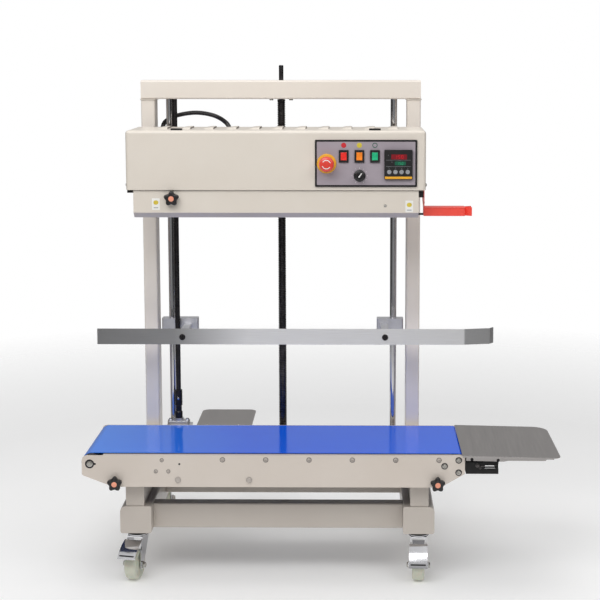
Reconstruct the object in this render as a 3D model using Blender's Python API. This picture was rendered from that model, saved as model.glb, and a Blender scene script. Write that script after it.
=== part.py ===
"""A continuous band sealer on a wheeled stand, in metres, +Z up.

Two legs on casters carry a belt conveyor and two posts. The sealing head rides on two guide rods between
the posts and is lifted by the lead screw in the middle. The drive shaft takes the head's drive down to the
conveyor. Bags stand on the belt, lean on the guide bar, and pass between the two bands of the head.

Places are machine coordinates: X to the right from the lead screw, Y to the rear from the front face of the
conveyor, Z up from the floor. The MACHINE empty shifts them all, so that the world origin is on the floor
under the middle of the machine.
"""

import math

import bmesh
import bpy
from mathutils import Matrix, Vector

# Driving dimensions
GAP = 0.0003
OVERSHOOT = 0.01  # how far a cutter stands past what it cuts
OVERLAP = 0.001  # how far two fused shapes share space
MIDDLE = Vector((0.1132, 0.3215, 0))  # the middle of the machine's box, on the floor
SHEET = 0.0015  # folded sheet metal
TUBE_WALL = 0.0025
TUBE_CORNER = 0.005
HOLE_CLEARANCE = 0.0005  # on the radius, where a shaft or stem turns in a hole
SIDES = 24

# Stand
LEG_X = 0.371
LEG_WIDTH = 0.082
LEG_BOTTOM, LEG_TOP, LEG_SHOULDER = 0.1315, 0.2048, 0.014
LEG_FRONT, LEG_REAR = 0.030, 0.650
BAR_END = LEG_X - LEG_WIDTH / 2 - GAP
CROSSBAR_Y = (0.072, 0.112)
CROSSBAR_Z = (0.1325, 0.200)
LOWER_BEAM_Y, LOWER_BEAM_Z = (0.318, 0.373), (0.152, LEG_TOP)
POST_X, POST_WIDTH = 0.3629, 0.038
POST_Y = (0.313, 0.373)
BEAM_Z = (1.259, 1.310)
BEAM_HALF = POST_X + POST_WIDTH / 2
ROD_X, ROD_Y, ROD_RADIUS = 0.3095, 0.356, 0.009
SLIDE_CLEARANCE = 0.0004
SCREW_Y, SCREW_RADIUS = 0.343, 0.011
SPIGOT_RADIUS, SPIGOT_TOP = 0.0065, 1.351
STAND_X, STAND_WIDTH = 0.3725, 0.048
STAND_Y, STAND_CORNER = (0.033, 0.288), 0.003

# Conveyor
CONVEYOR_TOP, CONVEYOR_BOTTOM = 0.350, 0.2664
CONVEYOR_LEFT, CONVEYOR_RIGHT = -0.504, 0.488
PLATE = 0.002
CONVEYOR_DEPTH = 0.310
FLANGE = 0.015
BELT_Y = (0.0163, 0.2937)
BELT_THICKNESS = 0.0015
BED_TOP = 0.3515  # the belt's upper run lies on this level
LEFT_ROLLER_X, LEFT_ROLLER_RADIUS = -0.4807, 0.025
RIGHT_ROLLER_X, RIGHT_ROLLER_RADIUS = 0.4735, 0.012
DRIVE_X, DRIVE_ROLLER_Z, DRIVE_ROLLER_RADIUS = -0.292, 0.309, 0.022
AXLE_RADIUS = 0.006
BAR_RADIUS, BAR_Z, FIRST_BAR_X, BAR_PITCH, BAR_COUNT = 0.005, 0.339, -0.139, 0.112, 6
BED_X = (-0.450, 0.455)
KNOB_X, KNOB_Z = 0.4175, 0.2765
KNOB_RADIUS, KNOB_WAVE, KNOB_DEPTH = 0.0172, 0.0026, 0.020
STEM_RADIUS = 0.0035
SHAFT_Y, SHAFT_RADIUS, SHAFT_FOOT = 0.330, 0.007, 0.345
FLANGE_START, HEM_HALF = -0.4495, 0.410  # the top flange's left end, the bottom flange's half length
BED_SKIRT = 0.333
GEARBOX_X, GEARBOX_Y, GEARBOX_Z = (-0.323, -0.254), (0.3103, 0.3445), (0.262, 0.350)
BEARING_HALF, BEARING_CORNER, BEARING_TOP = 0.031, 0.012, 0.358
HUB_RADIUS, HUB_TOP = 0.0135, 0.3665
SHELF_X, SHELF_REAR, SHELF_CORNER = (-0.2425, -0.0865), 0.508, 0.020
SHELF_Z, SHELF_FOOT = (0.343, 0.345), 0.318

# Infeed table
TABLE_X = (0.480, 0.734)
TABLE_Y = (-0.016, 0.294)
TABLE_TOP = 0.356
TABLE_DROOP = math.radians(1.3)
TABLE_HEM = 0.005
CHANNEL_X, CHANNEL_Y = (0.492, 0.704), (0.006, 0.270)
BRACKET_X, BRACKET_Y, BRACKET_Z = (0.491, 0.575), (0.004, 0.274), (0.302, 0.333)
BRACKET_WALL = 0.004
SLIDE_BAR_X, SLIDE_BAR_RADIUS, SLIDE_BAR_Z = (0.538, 0.573), 0.0022, (0.3195, 0.3262)

# Head
COVER_HALF = 0.3845
COVER_Y = (0.050, 0.245)
COVER_Z = (1.0345, 1.187)
GUARD_HALF, GUARD_Y, GUARD_LIP = 0.3665, 0.055, 0.014
GUARD_Z = (0.962, 1.0335)
CHASSIS_HALF = 0.3605
REAR_WALL_Y, REAR_WALL_Z = (0.2455, 0.2505), (0.961, 1.180)
BASE_PLATE_Z = (1.034, 1.039)
SLIDE_BLOCK_X, SLIDE_BLOCK_Z, SLIDE_BLOCK_REAR = (0.2725, 0.340), (1.030, 1.150), 0.373
NUT_BLOCK_HALF, NUT_BLOCK_Z = 0.030, (1.060, 1.120)
GLANDS = ((-0.3225, 1.165), (-0.1375, 1.150))
GLAND_RADIUS, GLAND_END = 0.009, 0.262
PANEL_X = (0.1008, 0.3619)
PANEL_Y = (0.0465, 0.0497)
PANEL_Z = (1.0434, 1.1640)
ESTOP = (0.1307, 1.103)
ROCKER_X, ROCKER_Z = (0.1742, 0.2142, 0.2539), 1.1218
SPEED = (0.215, 1.0722)
CONTROLLER = (0.3139, 1.1007)
PRESSURE = (-0.267, 1.0118)
BAND_X, BAND_Y, BAND_Z = 0.270, (0.114, 0.168), (0.985, 1.000)
WHEEL_RADIUS, BAND_THICKNESS, SPINDLE_RADIUS, SPINDLE_TOP = 0.025, 0.001, 0.005, 1.0335
HEATER_TOP = 1.0333
MOTOR_X, MOTOR_Y, MOTOR_Z, MOTOR_RADIUS = (-0.330, -0.200), 0.190, 1.0760, 0.035

# Guide bar
BAR_STRIP_Y, BAR_STRIP_THICKNESS = 0.197, 0.003
BAR_STRIP_Z = (0.6023, 0.6451)
BAR_STRIP_X = (-0.493, 0.492)
CLAMP_Z = (0.607, 0.647)
CLAMP_Y = (0.340, 0.373)
ARM_Z = (0.612, 0.634)

# Casters
CASTER_X, CASTER_Y = 0.373, {"front": 0.080, "rear": 0.595}
CASTER_YAW = {"left_front": -13, "right_front": -3, "left_rear": 184, "right_rear": 176}
TRAIL = 0.028
CASTER_WHEEL_RADIUS, CASTER_WHEEL_HALF = 0.040, 0.016
CASTER_BORE = 0.0063
FORK_INNER, FORK_SHEET = 0.0185, 0.0025
PEDAL_HINGE = Vector((0, -0.014, 0.098))
PEDAL_DOWN = math.radians(22)

for leftover in list(bpy.data.objects):
    bpy.data.objects.remove(leftover, do_unlink=True)


def finish(name, colour, roughness, metallic=0.0):
    """A material of one colour, roughness and metallic value."""
    material = bpy.data.materials.new(name)
    material.use_nodes = True
    shader = material.node_tree.nodes["Principled BSDF"]
    shader.inputs["Base Color"].default_value = (*colour, 1)
    shader.inputs["Roughness"].default_value = roughness
    shader.inputs["Metallic"].default_value = metallic
    return material


CREAM = finish("cream_paint", (0.68, 0.62, 0.55), 0.35)
BLUE = finish("blue_belt", (0.05, 0.16, 0.75), 0.25)
BLACK = finish("black_plastic", (0.02, 0.02, 0.02), 0.4)
STEEL = finish("brushed_steel", (0.45, 0.44, 0.43), 0.35, 1.0)
CHROME = finish("chrome", (0.8, 0.8, 0.8), 0.08, 1.0)
BLACK_STEEL = finish("black_steel", (0.03, 0.03, 0.03), 0.35, 0.8)
NYLON = finish("nylon", (0.62, 0.63, 0.52), 0.5)
RED = finish("red_plastic", (0.8, 0.04, 0.03), 0.35)
AMBER = finish("amber_plastic", (0.9, 0.35, 0.02), 0.35)
GREEN = finish("green_plastic", (0.02, 0.45, 0.25), 0.35)
PANEL_GREY = finish("panel_grey", (0.35, 0.32, 0.35), 0.5)
BAND_TAN = finish("sealing_band", (0.45, 0.30, 0.16), 0.5)


# Shapes, as bmeshes


def placed(axis, level, first, second):
    """A point at a level along an axis, with its other two coordinates in X, Y, Z order."""
    return {"X": (level, first, second), "Y": (first, level, second), "Z": (first, second, level)}[axis]


def box(x, y, z):
    """A box between the limits (low, high) on each axis."""
    shape = bmesh.new()
    limits = (x, y, z)
    middle = [sum(pair) / 2 for pair in limits]
    sides = [pair[1] - pair[0] for pair in limits]
    bmesh.ops.create_cube(shape, size=1, matrix=Matrix.Translation(middle) @ Matrix.Diagonal((*sides, 1)))
    return shape


def prism(points, axis, start, end):
    """An outline extruded along an axis."""
    shape = bmesh.new()
    face = shape.faces.new([shape.verts.new(placed(axis, start, *point)) for point in points])
    grown = bmesh.ops.extrude_face_region(shape, geom=[face])["geom"]
    moved = [part for part in grown if isinstance(part, bmesh.types.BMVert)]
    bmesh.ops.translate(shape, verts=moved, vec=placed(axis, end - start, 0, 0))
    return shape


def sleeve(outer, inner, axis, start, end):
    """A tube between two outlines with the same number of points."""
    shape = bmesh.new()
    corners = ((outer, start), (outer, end), (inner, end), (inner, start))
    rings = [[shape.verts.new(placed(axis, level, *point)) for point in points] for points, level in corners]
    for ring, following in zip(rings, rings[1:] + rings[:1]):
        for i in range(len(ring)):
            j = (i + 1) % len(ring)
            shape.faces.new((ring[i], ring[j], following[j], following[i]))
    return shape


def lathe(profile, axis, first, second, sides=SIDES):
    """A profile of (radius, level) points turned round an axis through (first, second)."""
    shape = bmesh.new()
    rings = []
    for radius, level in profile:
        turns = [2 * math.pi * step / sides for step in range(sides if radius else 1)]
        places = [(first + radius * math.cos(turn), second + radius * math.sin(turn)) for turn in turns]
        rings.append([shape.verts.new(placed(axis, level, *place)) for place in places])
    pairs = list(zip(rings, rings[1:]))
    if profile[0][0] and profile[-1][0]:
        pairs.append((rings[-1], rings[0]))
    for ring, following in pairs:
        for step in range(sides):
            corners = [ring[step % len(ring)], ring[(step + 1) % len(ring)]]
            corners += [following[(step + 1) % len(following)], following[step % len(following)]]
            shape.faces.new(list(dict.fromkeys(corners)))
    return shape


def rod(radius, axis, start, end, first, second, sides=SIDES):
    """A round bar along an axis."""
    return lathe([(0, start), (radius, start), (radius, end), (0, end)], axis, first, second, sides)


# Outlines


def outline(*corners, steps=3):
    """A closed outline of (x, y, radius) corners, each turned on an arc of its radius."""
    points = []
    for i, (x, y, radius) in enumerate(corners):
        corner = Vector((x, y))
        if not radius:
            points.append(corner)
            continue
        back = (Vector(corners[i - 1][:2]) - corner).normalized()
        ahead = (Vector(corners[(i + 1) % len(corners)][:2]) - corner).normalized()
        half = back.angle(ahead) / 2
        centre = corner + (back + ahead).normalized() * (radius / math.sin(half))
        spokes = [corner + side * (radius / math.tan(half)) - centre for side in (back, ahead)]
        first, last = (math.atan2(spoke.y, spoke.x) for spoke in spokes)
        sweep = (last - first + math.pi) % (2 * math.pi) - math.pi
        for step in range(steps + 1):
            angle = first + sweep * step / steps
            points.append(centre + radius * Vector((math.cos(angle), math.sin(angle))))
    return points


def rectangle(x, y, radius=0.0):
    """A rectangle between the limits (low, high), with rounded corners."""
    return outline((x[0], y[0], radius), (x[1], y[0], radius), (x[1], y[1], radius), (x[0], y[1], radius))


def inset(limits, wall):
    return (limits[0] + wall, limits[1] - wall)


def folded(points, thickness):
    """The outline of a folded sheet: a line along one face, and the same line one thickness to its left."""
    line = [Vector(point) for point in points]
    normals = []
    for start, end in zip(line, line[1:]):
        along = (end - start).normalized()
        normals.append(Vector((-along.y, along.x)))
    directions = [normals[0]] + [(a + b).normalized() for a, b in zip(normals, normals[1:])] + [normals[-1]]
    facing = [normals[0]] + normals
    other = [p + d * (thickness / d.dot(n)) for p, d, n in zip(line, directions, facing)]
    return line + other[::-1]


def loop(wheels, offset, steps=14):
    """The outline of a belt round (x, y, radius) wheels, listed anticlockwise, at an offset from them."""
    points = []
    count = len(wheels)

    def leaving(i):
        x, y, radius = wheels[i % count]
        next_x, next_y, next_radius = wheels[(i + 1) % count]
        reach = math.hypot(next_x - x, next_y - y)
        return math.atan2(next_y - y, next_x - x) - math.acos((radius - next_radius) / reach)

    for i, (x, y, radius) in enumerate(wheels):
        first = leaving(i - 1)
        sweep = (leaving(i) - first) % (2 * math.pi)
        for step in range(steps + 1):
            angle = first + sweep * step / steps
            points.append((x + (radius + offset) * math.cos(angle), y + (radius + offset) * math.sin(angle)))
    return points


def star(x, z, steps=40):
    """The outline of a five-lobed hand knob."""
    points = []
    for step in range(steps):
        turn = 2 * math.pi * step / steps
        radius = KNOB_RADIUS + KNOB_WAVE * math.cos(5 * (turn - math.pi / 2))
        points.append((x + radius * math.cos(turn), z + radius * math.sin(turn)))
    return points


# Objects

MACHINE = bpy.data.objects.new("MACHINE", None)
bpy.context.scene.collection.objects.link(MACHINE)
MACHINE.location = -MIDDLE


def add(name, shape, material, at=(0, 0, 0), parent=MACHINE):
    """An object with its origin at a place in its parent's frame, where its shape is given too."""
    bmesh.ops.recalc_face_normals(shape, faces=shape.faces)
    bmesh.ops.translate(shape, verts=shape.verts, vec=-Vector(at))
    mesh = bpy.data.meshes.new(name)
    shape.to_mesh(mesh)
    shape.free()
    mesh.materials.append(material)
    mesh.shade_smooth()
    mesh.set_sharp_from_angle(angle=math.radians(30))
    made = bpy.data.objects.new(name, mesh)
    bpy.context.scene.collection.objects.link(made)
    made.parent = parent
    made.location = at
    return made


def combine(target, operation, shapes):
    for shape in shapes:
        count = len(target.modifiers)
        tool = add(f"{target.name}_tool_{count}", shape, target.data.materials[0], parent=target.parent)
        tool.hide_render = True
        tool.display_type = "WIRE"
        modifier = target.modifiers.new(f"{operation.lower()}_{count}", "BOOLEAN")
        modifier.operation = operation
        modifier.solver = "EXACT"
        modifier.object = tool
    return target


def fuse(target, *shapes):
    return combine(target, "UNION", shapes)


def cut(target, *shapes):
    return combine(target, "DIFFERENCE", shapes)


def around(centre, half):
    return (centre - half, centre + half)


def leg_outline(x, z, sign, wall):
    """A leg's section: a rectangle whose outer upper corner is turned on a larger radius."""
    corner, shoulder = TUBE_CORNER - wall, LEG_SHOULDER - wall
    right, left = (shoulder, corner) if sign > 0 else (corner, shoulder)
    return outline((x[0], z[0], corner), (x[1], z[0], corner), (x[1], z[1], right), (x[0], z[1], left))


def build_stand():
    for side, sign in (("left", -1), ("right", 1)):
        leg_x = around(sign * LEG_X, LEG_WIDTH / 2)
        leg_z = (LEG_BOTTOM, LEG_TOP)
        leg = add(f"{side}_leg", prism(leg_outline(leg_x, leg_z, sign, 0), "Y", LEG_FRONT, LEG_REAR), CREAM)
        hollow = leg_outline(inset(leg_x, TUBE_WALL), inset(leg_z, TUBE_WALL), sign, TUBE_WALL)
        cut(leg, prism(hollow, "Y", LEG_FRONT + TUBE_WALL, LEG_REAR + OVERSHOOT))

        post_x = around(sign * POST_X, POST_WIDTH / 2)
        post = sleeve(
            rectangle(post_x, POST_Y, TUBE_CORNER),
            rectangle(inset(post_x, TUBE_WALL), inset(POST_Y, TUBE_WALL), TUBE_CORNER - TUBE_WALL),
            "Z",
            LEG_TOP + GAP,
            BEAM_Z[0] - GAP,
        )
        add(f"{side}_post", post, CREAM)

        guide = rod(ROD_RADIUS, "Z", LOWER_BEAM_Z[1] + GAP, BEAM_Z[0] - GAP, sign * ROD_X, ROD_Y, 32)
        add(f"{side}_guide_rod", guide, CHROME)

        stand_x = around(sign * STAND_X, STAND_WIDTH / 2)
        stand_z = (LEG_TOP + GAP, CONVEYOR_BOTTOM - GAP)
        stand = add(f"{side}_stand", prism(rectangle(stand_x, stand_z, STAND_CORNER), "Y", *STAND_Y), CREAM)
        hollow = rectangle(inset(stand_x, TUBE_WALL), inset(stand_z, TUBE_WALL))
        cut(stand, prism(hollow, "Y", STAND_Y[0] + TUBE_WALL, STAND_Y[1] + OVERSHOOT))

    for name, y, z, end in (
        ("crossbar", CROSSBAR_Y, CROSSBAR_Z, BAR_END),
        ("lower_beam", LOWER_BEAM_Y, LOWER_BEAM_Z, BAR_END),
        ("top_beam", POST_Y, BEAM_Z, BEAM_HALF),
    ):
        outer = rectangle(y, z, TUBE_CORNER)
        inner = rectangle(inset(y, TUBE_WALL), inset(z, TUBE_WALL), TUBE_CORNER - TUBE_WALL)
        beam = add(name, sleeve(outer, inner, "X", -end, end), CREAM)
        if name == "top_beam":
            hole = rod(SPIGOT_RADIUS + HOLE_CLEARANCE, "Z", z[0] - OVERSHOOT, z[1] + OVERSHOOT, 0, SCREW_Y)
            cut(beam, hole)


def build_screw():
    low, shoulder = LOWER_BEAM_Z[1] + GAP, BEAM_Z[0] - GAP
    chamfer = 0.0015
    profile = [
        (0, low),
        (SCREW_RADIUS, low),
        (SCREW_RADIUS, shoulder - chamfer),
        (SCREW_RADIUS - chamfer, shoulder),
        (SPIGOT_RADIUS, shoulder),
        (SPIGOT_RADIUS, SPIGOT_TOP - chamfer),
        (SPIGOT_RADIUS - chamfer, SPIGOT_TOP),
        (0, SPIGOT_TOP),
    ]
    add("lead_screw", lathe(profile, "Z", 0, SCREW_Y, 32), BLACK_STEEL, at=(0, SCREW_Y, low))


def conveyor_outline():
    return outline(
        (CONVEYOR_LEFT, CONVEYOR_TOP, 0.013),
        (CONVEYOR_LEFT, 0.2975, 0.006),
        (-0.440, 0.2730, 0.010),
        (-0.420, CONVEYOR_BOTTOM, 0),
        (0.418, CONVEYOR_BOTTOM, 0),
        (0.436, 0.2730, 0.010),
        (CONVEYOR_RIGHT, 0.3028, 0.002),
        (CONVEYOR_RIGHT, CONVEYOR_TOP, 0.002),
    )


def build_conveyor():
    """The two side plates with their flanges, the rollers, the bed, the belt and the gearbox."""
    rear_y = CONVEYOR_DEPTH - PLATE
    for name, face, flange in (
        ("conveyor_front_plate", (0, PLATE), (PLATE / 2, FLANGE)),
        ("conveyor_rear_plate", (rear_y, CONVEYOR_DEPTH), (CONVEYOR_DEPTH - FLANGE, rear_y + PLATE / 2)),
    ):
        plate = add(name, prism(conveyor_outline(), "Y", *face), CREAM)
        top = (CONVEYOR_TOP - PLATE, CONVEYOR_TOP)
        bottom = (CONVEYOR_BOTTOM, CONVEYOR_BOTTOM + PLATE)
        fuse(
            plate,
            box((FLANGE_START, CONVEYOR_RIGHT - 2 * OVERLAP), flange, top),
            box((-HEM_HALF, HEM_HALF), flange, bottom),
        )
        through = (face[0] - OVERSHOOT, face[1] + OVERSHOOT)
        if face[0] == 0:
            for x in (-KNOB_X, KNOB_X):
                cut(plate, rod(STEM_RADIUS + HOLE_CLEARANCE, "Y", *through, x, KNOB_Z, 16))
        else:
            cut(plate, rod(AXLE_RADIUS + HOLE_CLEARANCE, "Y", *through, DRIVE_X, DRIVE_ROLLER_Z, 16))

    wheels = (
        (LEFT_ROLLER_X, BED_TOP - LEFT_ROLLER_RADIUS, LEFT_ROLLER_RADIUS),
        (DRIVE_X, DRIVE_ROLLER_Z, DRIVE_ROLLER_RADIUS),
        (RIGHT_ROLLER_X, BED_TOP - RIGHT_ROLLER_RADIUS, RIGHT_ROLLER_RADIUS),
    )
    belt = sleeve(loop(wheels, GAP + BELT_THICKNESS), loop(wheels, GAP), "Y", *BELT_Y)
    add("belt", belt, BLUE)

    drum = inset(BELT_Y, 0.0012)
    axle_front, axle_rear, drive_end = PLATE + GAP, rear_y - GAP, 0.324
    for name, (x, z, radius), end in (
        ("left_roller", wheels[0], axle_rear),
        ("drive_roller", wheels[1], drive_end),
        ("right_roller", wheels[2], axle_rear),
    ):
        profile = [
            (0, axle_front),
            (AXLE_RADIUS, axle_front),
            (AXLE_RADIUS, drum[0]),
            (radius, drum[0]),
            (radius, drum[1]),
            (AXLE_RADIUS, drum[1]),
            (AXLE_RADIUS, end),
            (0, end),
        ]
        add(name, lathe(profile, "Y", x, z), STEEL, at=(x, 0, z))

    bed_top = BED_TOP - GAP
    front, back = inset(BELT_Y, 0.001)
    line = [(front, BED_SKIRT), (front, bed_top), (back, bed_top), (back, BED_SKIRT)]
    bed_sides = folded(line, -SHEET)
    bed = add("slider_bed", prism(bed_sides, "X", *BED_X), STEEL)
    for number in range(BAR_COUNT):
        x = FIRST_BAR_X + number * BAR_PITCH
        fuse(bed, rod(BAR_RADIUS, "Y", axle_front, axle_rear, x, BAR_Z, 12))

    gearbox = add("conveyor_gearbox", prism(rectangle(GEARBOX_X, GEARBOX_Y, 0.004), "Z", *GEARBOX_Z), STEEL)
    bearing = rectangle(around(DRIVE_X, BEARING_HALF), inset(GEARBOX_Y, 0.0005), BEARING_CORNER)
    fuse(
        gearbox,
        prism(bearing, "Z", GEARBOX_Z[1] - OVERLAP, BEARING_TOP),
        rod(HUB_RADIUS, "Z", BEARING_TOP - OVERLAP, HUB_TOP, DRIVE_X, SHAFT_Y),
    )
    bore = AXLE_RADIUS + HOLE_CLEARANCE
    cut(
        gearbox,
        rod(bore, "Z", SHAFT_FOOT - 0.005, HUB_TOP + OVERSHOOT, DRIVE_X, SHAFT_Y, 16),
        rod(bore, "Y", GEARBOX_Y[0] - OVERSHOOT, drive_end + 0.002, DRIVE_X, DRIVE_ROLLER_Z, 16),
    )

    shelf_front = CONVEYOR_DEPTH + GAP
    plan = outline(
        (SHELF_X[0], shelf_front, 0),
        (SHELF_X[1], shelf_front, 0),
        (SHELF_X[1], SHELF_REAR, SHELF_CORNER),
        (SHELF_X[0], SHELF_REAR, SHELF_CORNER),
        steps=5,
    )
    shelf = add("rear_shelf", prism(plan, "Z", *SHELF_Z), STEEL)
    fuse(shelf, box(SHELF_X, (shelf_front, shelf_front + PLATE), (SHELF_FOOT, SHELF_Z[1] - OVERLAP)))


def build_knobs():
    """Star knobs: two that set the belt's tension, and one that presses the bands together."""
    for name, x, z, face in (
        ("left_belt_knob", -KNOB_X, KNOB_Z, 0),
        ("right_belt_knob", KNOB_X, KNOB_Z, 0),
        ("pressure_knob", *PRESSURE, GUARD_Y),
    ):
        front = face - GAP
        knob = add(name, prism(star(x, z), "Y", front - KNOB_DEPTH, front), BLACK, at=(x, face, z))
        fuse(knob, rod(STEM_RADIUS, "Y", front - 0.005, face + 0.014, x, z, 16))


def build_table():
    """The infeed table with the channel under it, and the fixed bracket that it slides on."""
    droop = Matrix.Translation((TABLE_X[0], 0, TABLE_TOP)) @ Matrix.Rotation(TABLE_DROOP, 4, "Y")
    droop @= Matrix.Translation((-TABLE_X[0], 0, -TABLE_TOP))
    plan = outline(
        (TABLE_X[0], TABLE_Y[0], 0.001),
        (TABLE_X[1], TABLE_Y[0], 0.018),
        (TABLE_X[1], TABLE_Y[1], 0.040),
        (TABLE_X[0], TABLE_Y[1], 0.001),
        steps=6,
    )
    top = prism(plan, "Z", TABLE_TOP - PLATE, TABLE_TOP)
    hem_x = (TABLE_X[0] + OVERLAP, TABLE_X[1] - 0.018)
    hem = box(hem_x, (TABLE_Y[0], TABLE_Y[0] + SHEET), (TABLE_TOP - TABLE_HEM, TABLE_TOP - OVERLAP))
    profile = [
        (CHANNEL_X[0], TABLE_TOP - OVERLAP),
        (CHANNEL_X[0], TABLE_TOP - 0.0195),
        (0.590, TABLE_TOP - 0.0195),
        (0.600, TABLE_TOP - 0.0170),
        (CHANNEL_X[1] - 0.007, TABLE_TOP - 0.0150),
        (CHANNEL_X[1], TABLE_TOP - 0.0080),
        (CHANNEL_X[1], TABLE_TOP - OVERLAP),
    ]
    channel = prism(profile, "Y", *CHANNEL_Y)
    hollow_x = (TABLE_X[0] - OVERSHOOT, CHANNEL_X[1] + OVERSHOOT)
    hollow = box(hollow_x, inset(CHANNEL_Y, SHEET), (BRACKET_Z[0], TABLE_TOP - PLATE - 0.0005))
    for shape in (top, hem, channel, hollow):
        bmesh.ops.transform(shape, matrix=droop, verts=shape.verts)
    table = add("infeed_table", top, STEEL)
    fuse(table, channel)
    cut(table, hollow)
    fuse(table, hem)

    bracket = add("table_bracket", box(BRACKET_X, BRACKET_Y, BRACKET_Z), BLACK_STEEL)
    underside = (BRACKET_Z[0] - OVERSHOOT, BRACKET_Z[1] - BRACKET_WALL)
    cut(bracket, box(inset(BRACKET_X, BRACKET_WALL), inset(BRACKET_Y, BRACKET_WALL), underside))
    window_x = (SLIDE_BAR_X[0] + 0.002, BRACKET_X[1] + OVERSHOOT)
    window_z = (SLIDE_BAR_Z[0] - 0.0035, SLIDE_BAR_Z[1] + 0.0028)
    cut(bracket, box(window_x, (0.000, BRACKET_Y[0] + 0.006), window_z))
    for z in SLIDE_BAR_Z:
        fuse(bracket, rod(SLIDE_BAR_RADIUS, "X", *SLIDE_BAR_X, BRACKET_Y[0] + 0.0025, z, 12))


def build_drive_shaft():
    """The upright shaft that drives the conveyor, with its universal joint at the foot."""
    joint_low, neck_low, neck_high, joint_high = 0.367, 0.386, 0.400, 0.446
    yoke, neck, chamfer = 0.0105, 0.0085, 0.003
    profile = [
        (0, SHAFT_FOOT),
        (AXLE_RADIUS, SHAFT_FOOT),
        (AXLE_RADIUS, joint_low),
        (yoke, joint_low),
        (yoke, neck_low - chamfer),
        (neck, neck_low),
        (neck, neck_high),
        (yoke, neck_high + chamfer),
        (yoke, joint_high),
        (SHAFT_RADIUS, joint_high),
        (SHAFT_RADIUS, BEAM_Z[0] - GAP),
        (0, BEAM_Z[0] - GAP),
    ]
    add("drive_shaft", lathe(profile, "Z", DRIVE_X, SHAFT_Y), BLACK_STEEL, at=(DRIVE_X, SHAFT_Y, SHAFT_FOOT))


def build_guide_bar():
    """The strip that bags lean on, with its flared end, and the two clamps that hold it to the rods."""
    bend = Vector((BAR_STRIP_X[1], BAR_STRIP_Y))
    flare = bend + 0.077 * Vector((math.cos(math.radians(11)), math.sin(math.radians(11))))
    tip = flare + 0.020 * Vector((math.cos(math.radians(55)), math.sin(math.radians(55))))
    strip = folded([(BAR_STRIP_X[0], BAR_STRIP_Y), bend, flare, tip], BAR_STRIP_THICKNESS)
    add("guide_bar", prism(strip, "Z", *BAR_STRIP_Z), STEEL)

    for name, block_x, arm_x, rod_x in (
        ("left_clamp", (-0.3373, -0.2366), (-0.273, -0.253), -ROD_X),
        ("right_clamp", (0.2639, 0.3376), (0.2743, 0.2943), ROD_X),
    ):
        clamp = add(name, prism(rectangle(block_x, CLAMP_Y, 0.004), "Z", *CLAMP_Z), STEEL)
        strip_back = BAR_STRIP_Y + BAR_STRIP_THICKNESS + GAP
        fuse(clamp, box(arm_x, (strip_back, CLAMP_Y[0] + 0.002), ARM_Z))
        bore = ROD_RADIUS + SLIDE_CLEARANCE
        cut(clamp, rod(bore, "Z", CLAMP_Z[0] - 0.01, CLAMP_Z[1] + 0.01, rod_x, ROD_Y, 32))


def build_cover():
    """The head's cover: a folded shell open at the rear and below, with two oval holes in its top."""
    bend, spare = 0.008, 0.050  # the block is this much deeper and taller than the cover until it is trimmed
    long_y, tall_z = (COVER_Y[0], COVER_Y[1] + spare), (COVER_Z[0] - spare, COVER_Z[1])
    outer = box((-COVER_HALF, COVER_HALF), long_y, tall_z)
    inner_y, inner_z = (long_y[0] + SHEET, long_y[1] + spare), (tall_z[0] - spare, tall_z[1] - SHEET)
    inner = box(inset((-COVER_HALF, COVER_HALF), SHEET), inner_y, inner_z)
    for shape, radius in ((outer, bend), (inner, bend - SHEET)):
        bmesh.ops.bevel(shape, geom=shape.edges[:], offset=radius, segments=3, profile=0.5, affect="EDGES")
    cover = add("head_cover", outer, CREAM)
    all_x, all_y, all_z = (-0.5, 0.5), (0.0, 0.4), (0.9, 1.3)
    window_x, window_z = (PANEL_X[0] + 0.013, PANEL_X[1] - 0.013), (PANEL_Z[0] + 0.0126, PANEL_Z[1] - 0.0114)
    cut(
        cover,
        inner,
        box(all_x, all_y, (all_z[0], COVER_Z[0])),
        box(all_x, (COVER_Y[1], all_y[1]), all_z),
        box(window_x, (COVER_Y[0] - OVERSHOOT, COVER_Y[0] + OVERSHOOT), window_z),
    )
    hole_y = (0.066, 0.0745)
    for x in (-0.255, 0.254):
        oval = rectangle(around(x, 0.011), hole_y, 0.004)
        cut(cover, prism(oval, "Z", COVER_Z[1] - OVERSHOOT, COVER_Z[1] + OVERSHOOT))


def build_guard():
    lip_top = GUARD_Z[0] + GUARD_LIP
    line = [
        (GUARD_Y + 0.013, GUARD_Z[1]),
        (GUARD_Y, GUARD_Z[1]),
        (GUARD_Y, lip_top),
        (GUARD_Y + GUARD_LIP, GUARD_Z[0]),
    ]
    guard = add("front_guard", prism(folded(line, SHEET), "X", -GUARD_HALF, GUARD_HALF), CREAM)
    x, z = PRESSURE
    cut(guard, rod(STEM_RADIUS + HOLE_CLEARANCE, "Y", GUARD_Y - OVERSHOOT, GUARD_Y + OVERSHOOT, x, z, 16))


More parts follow.
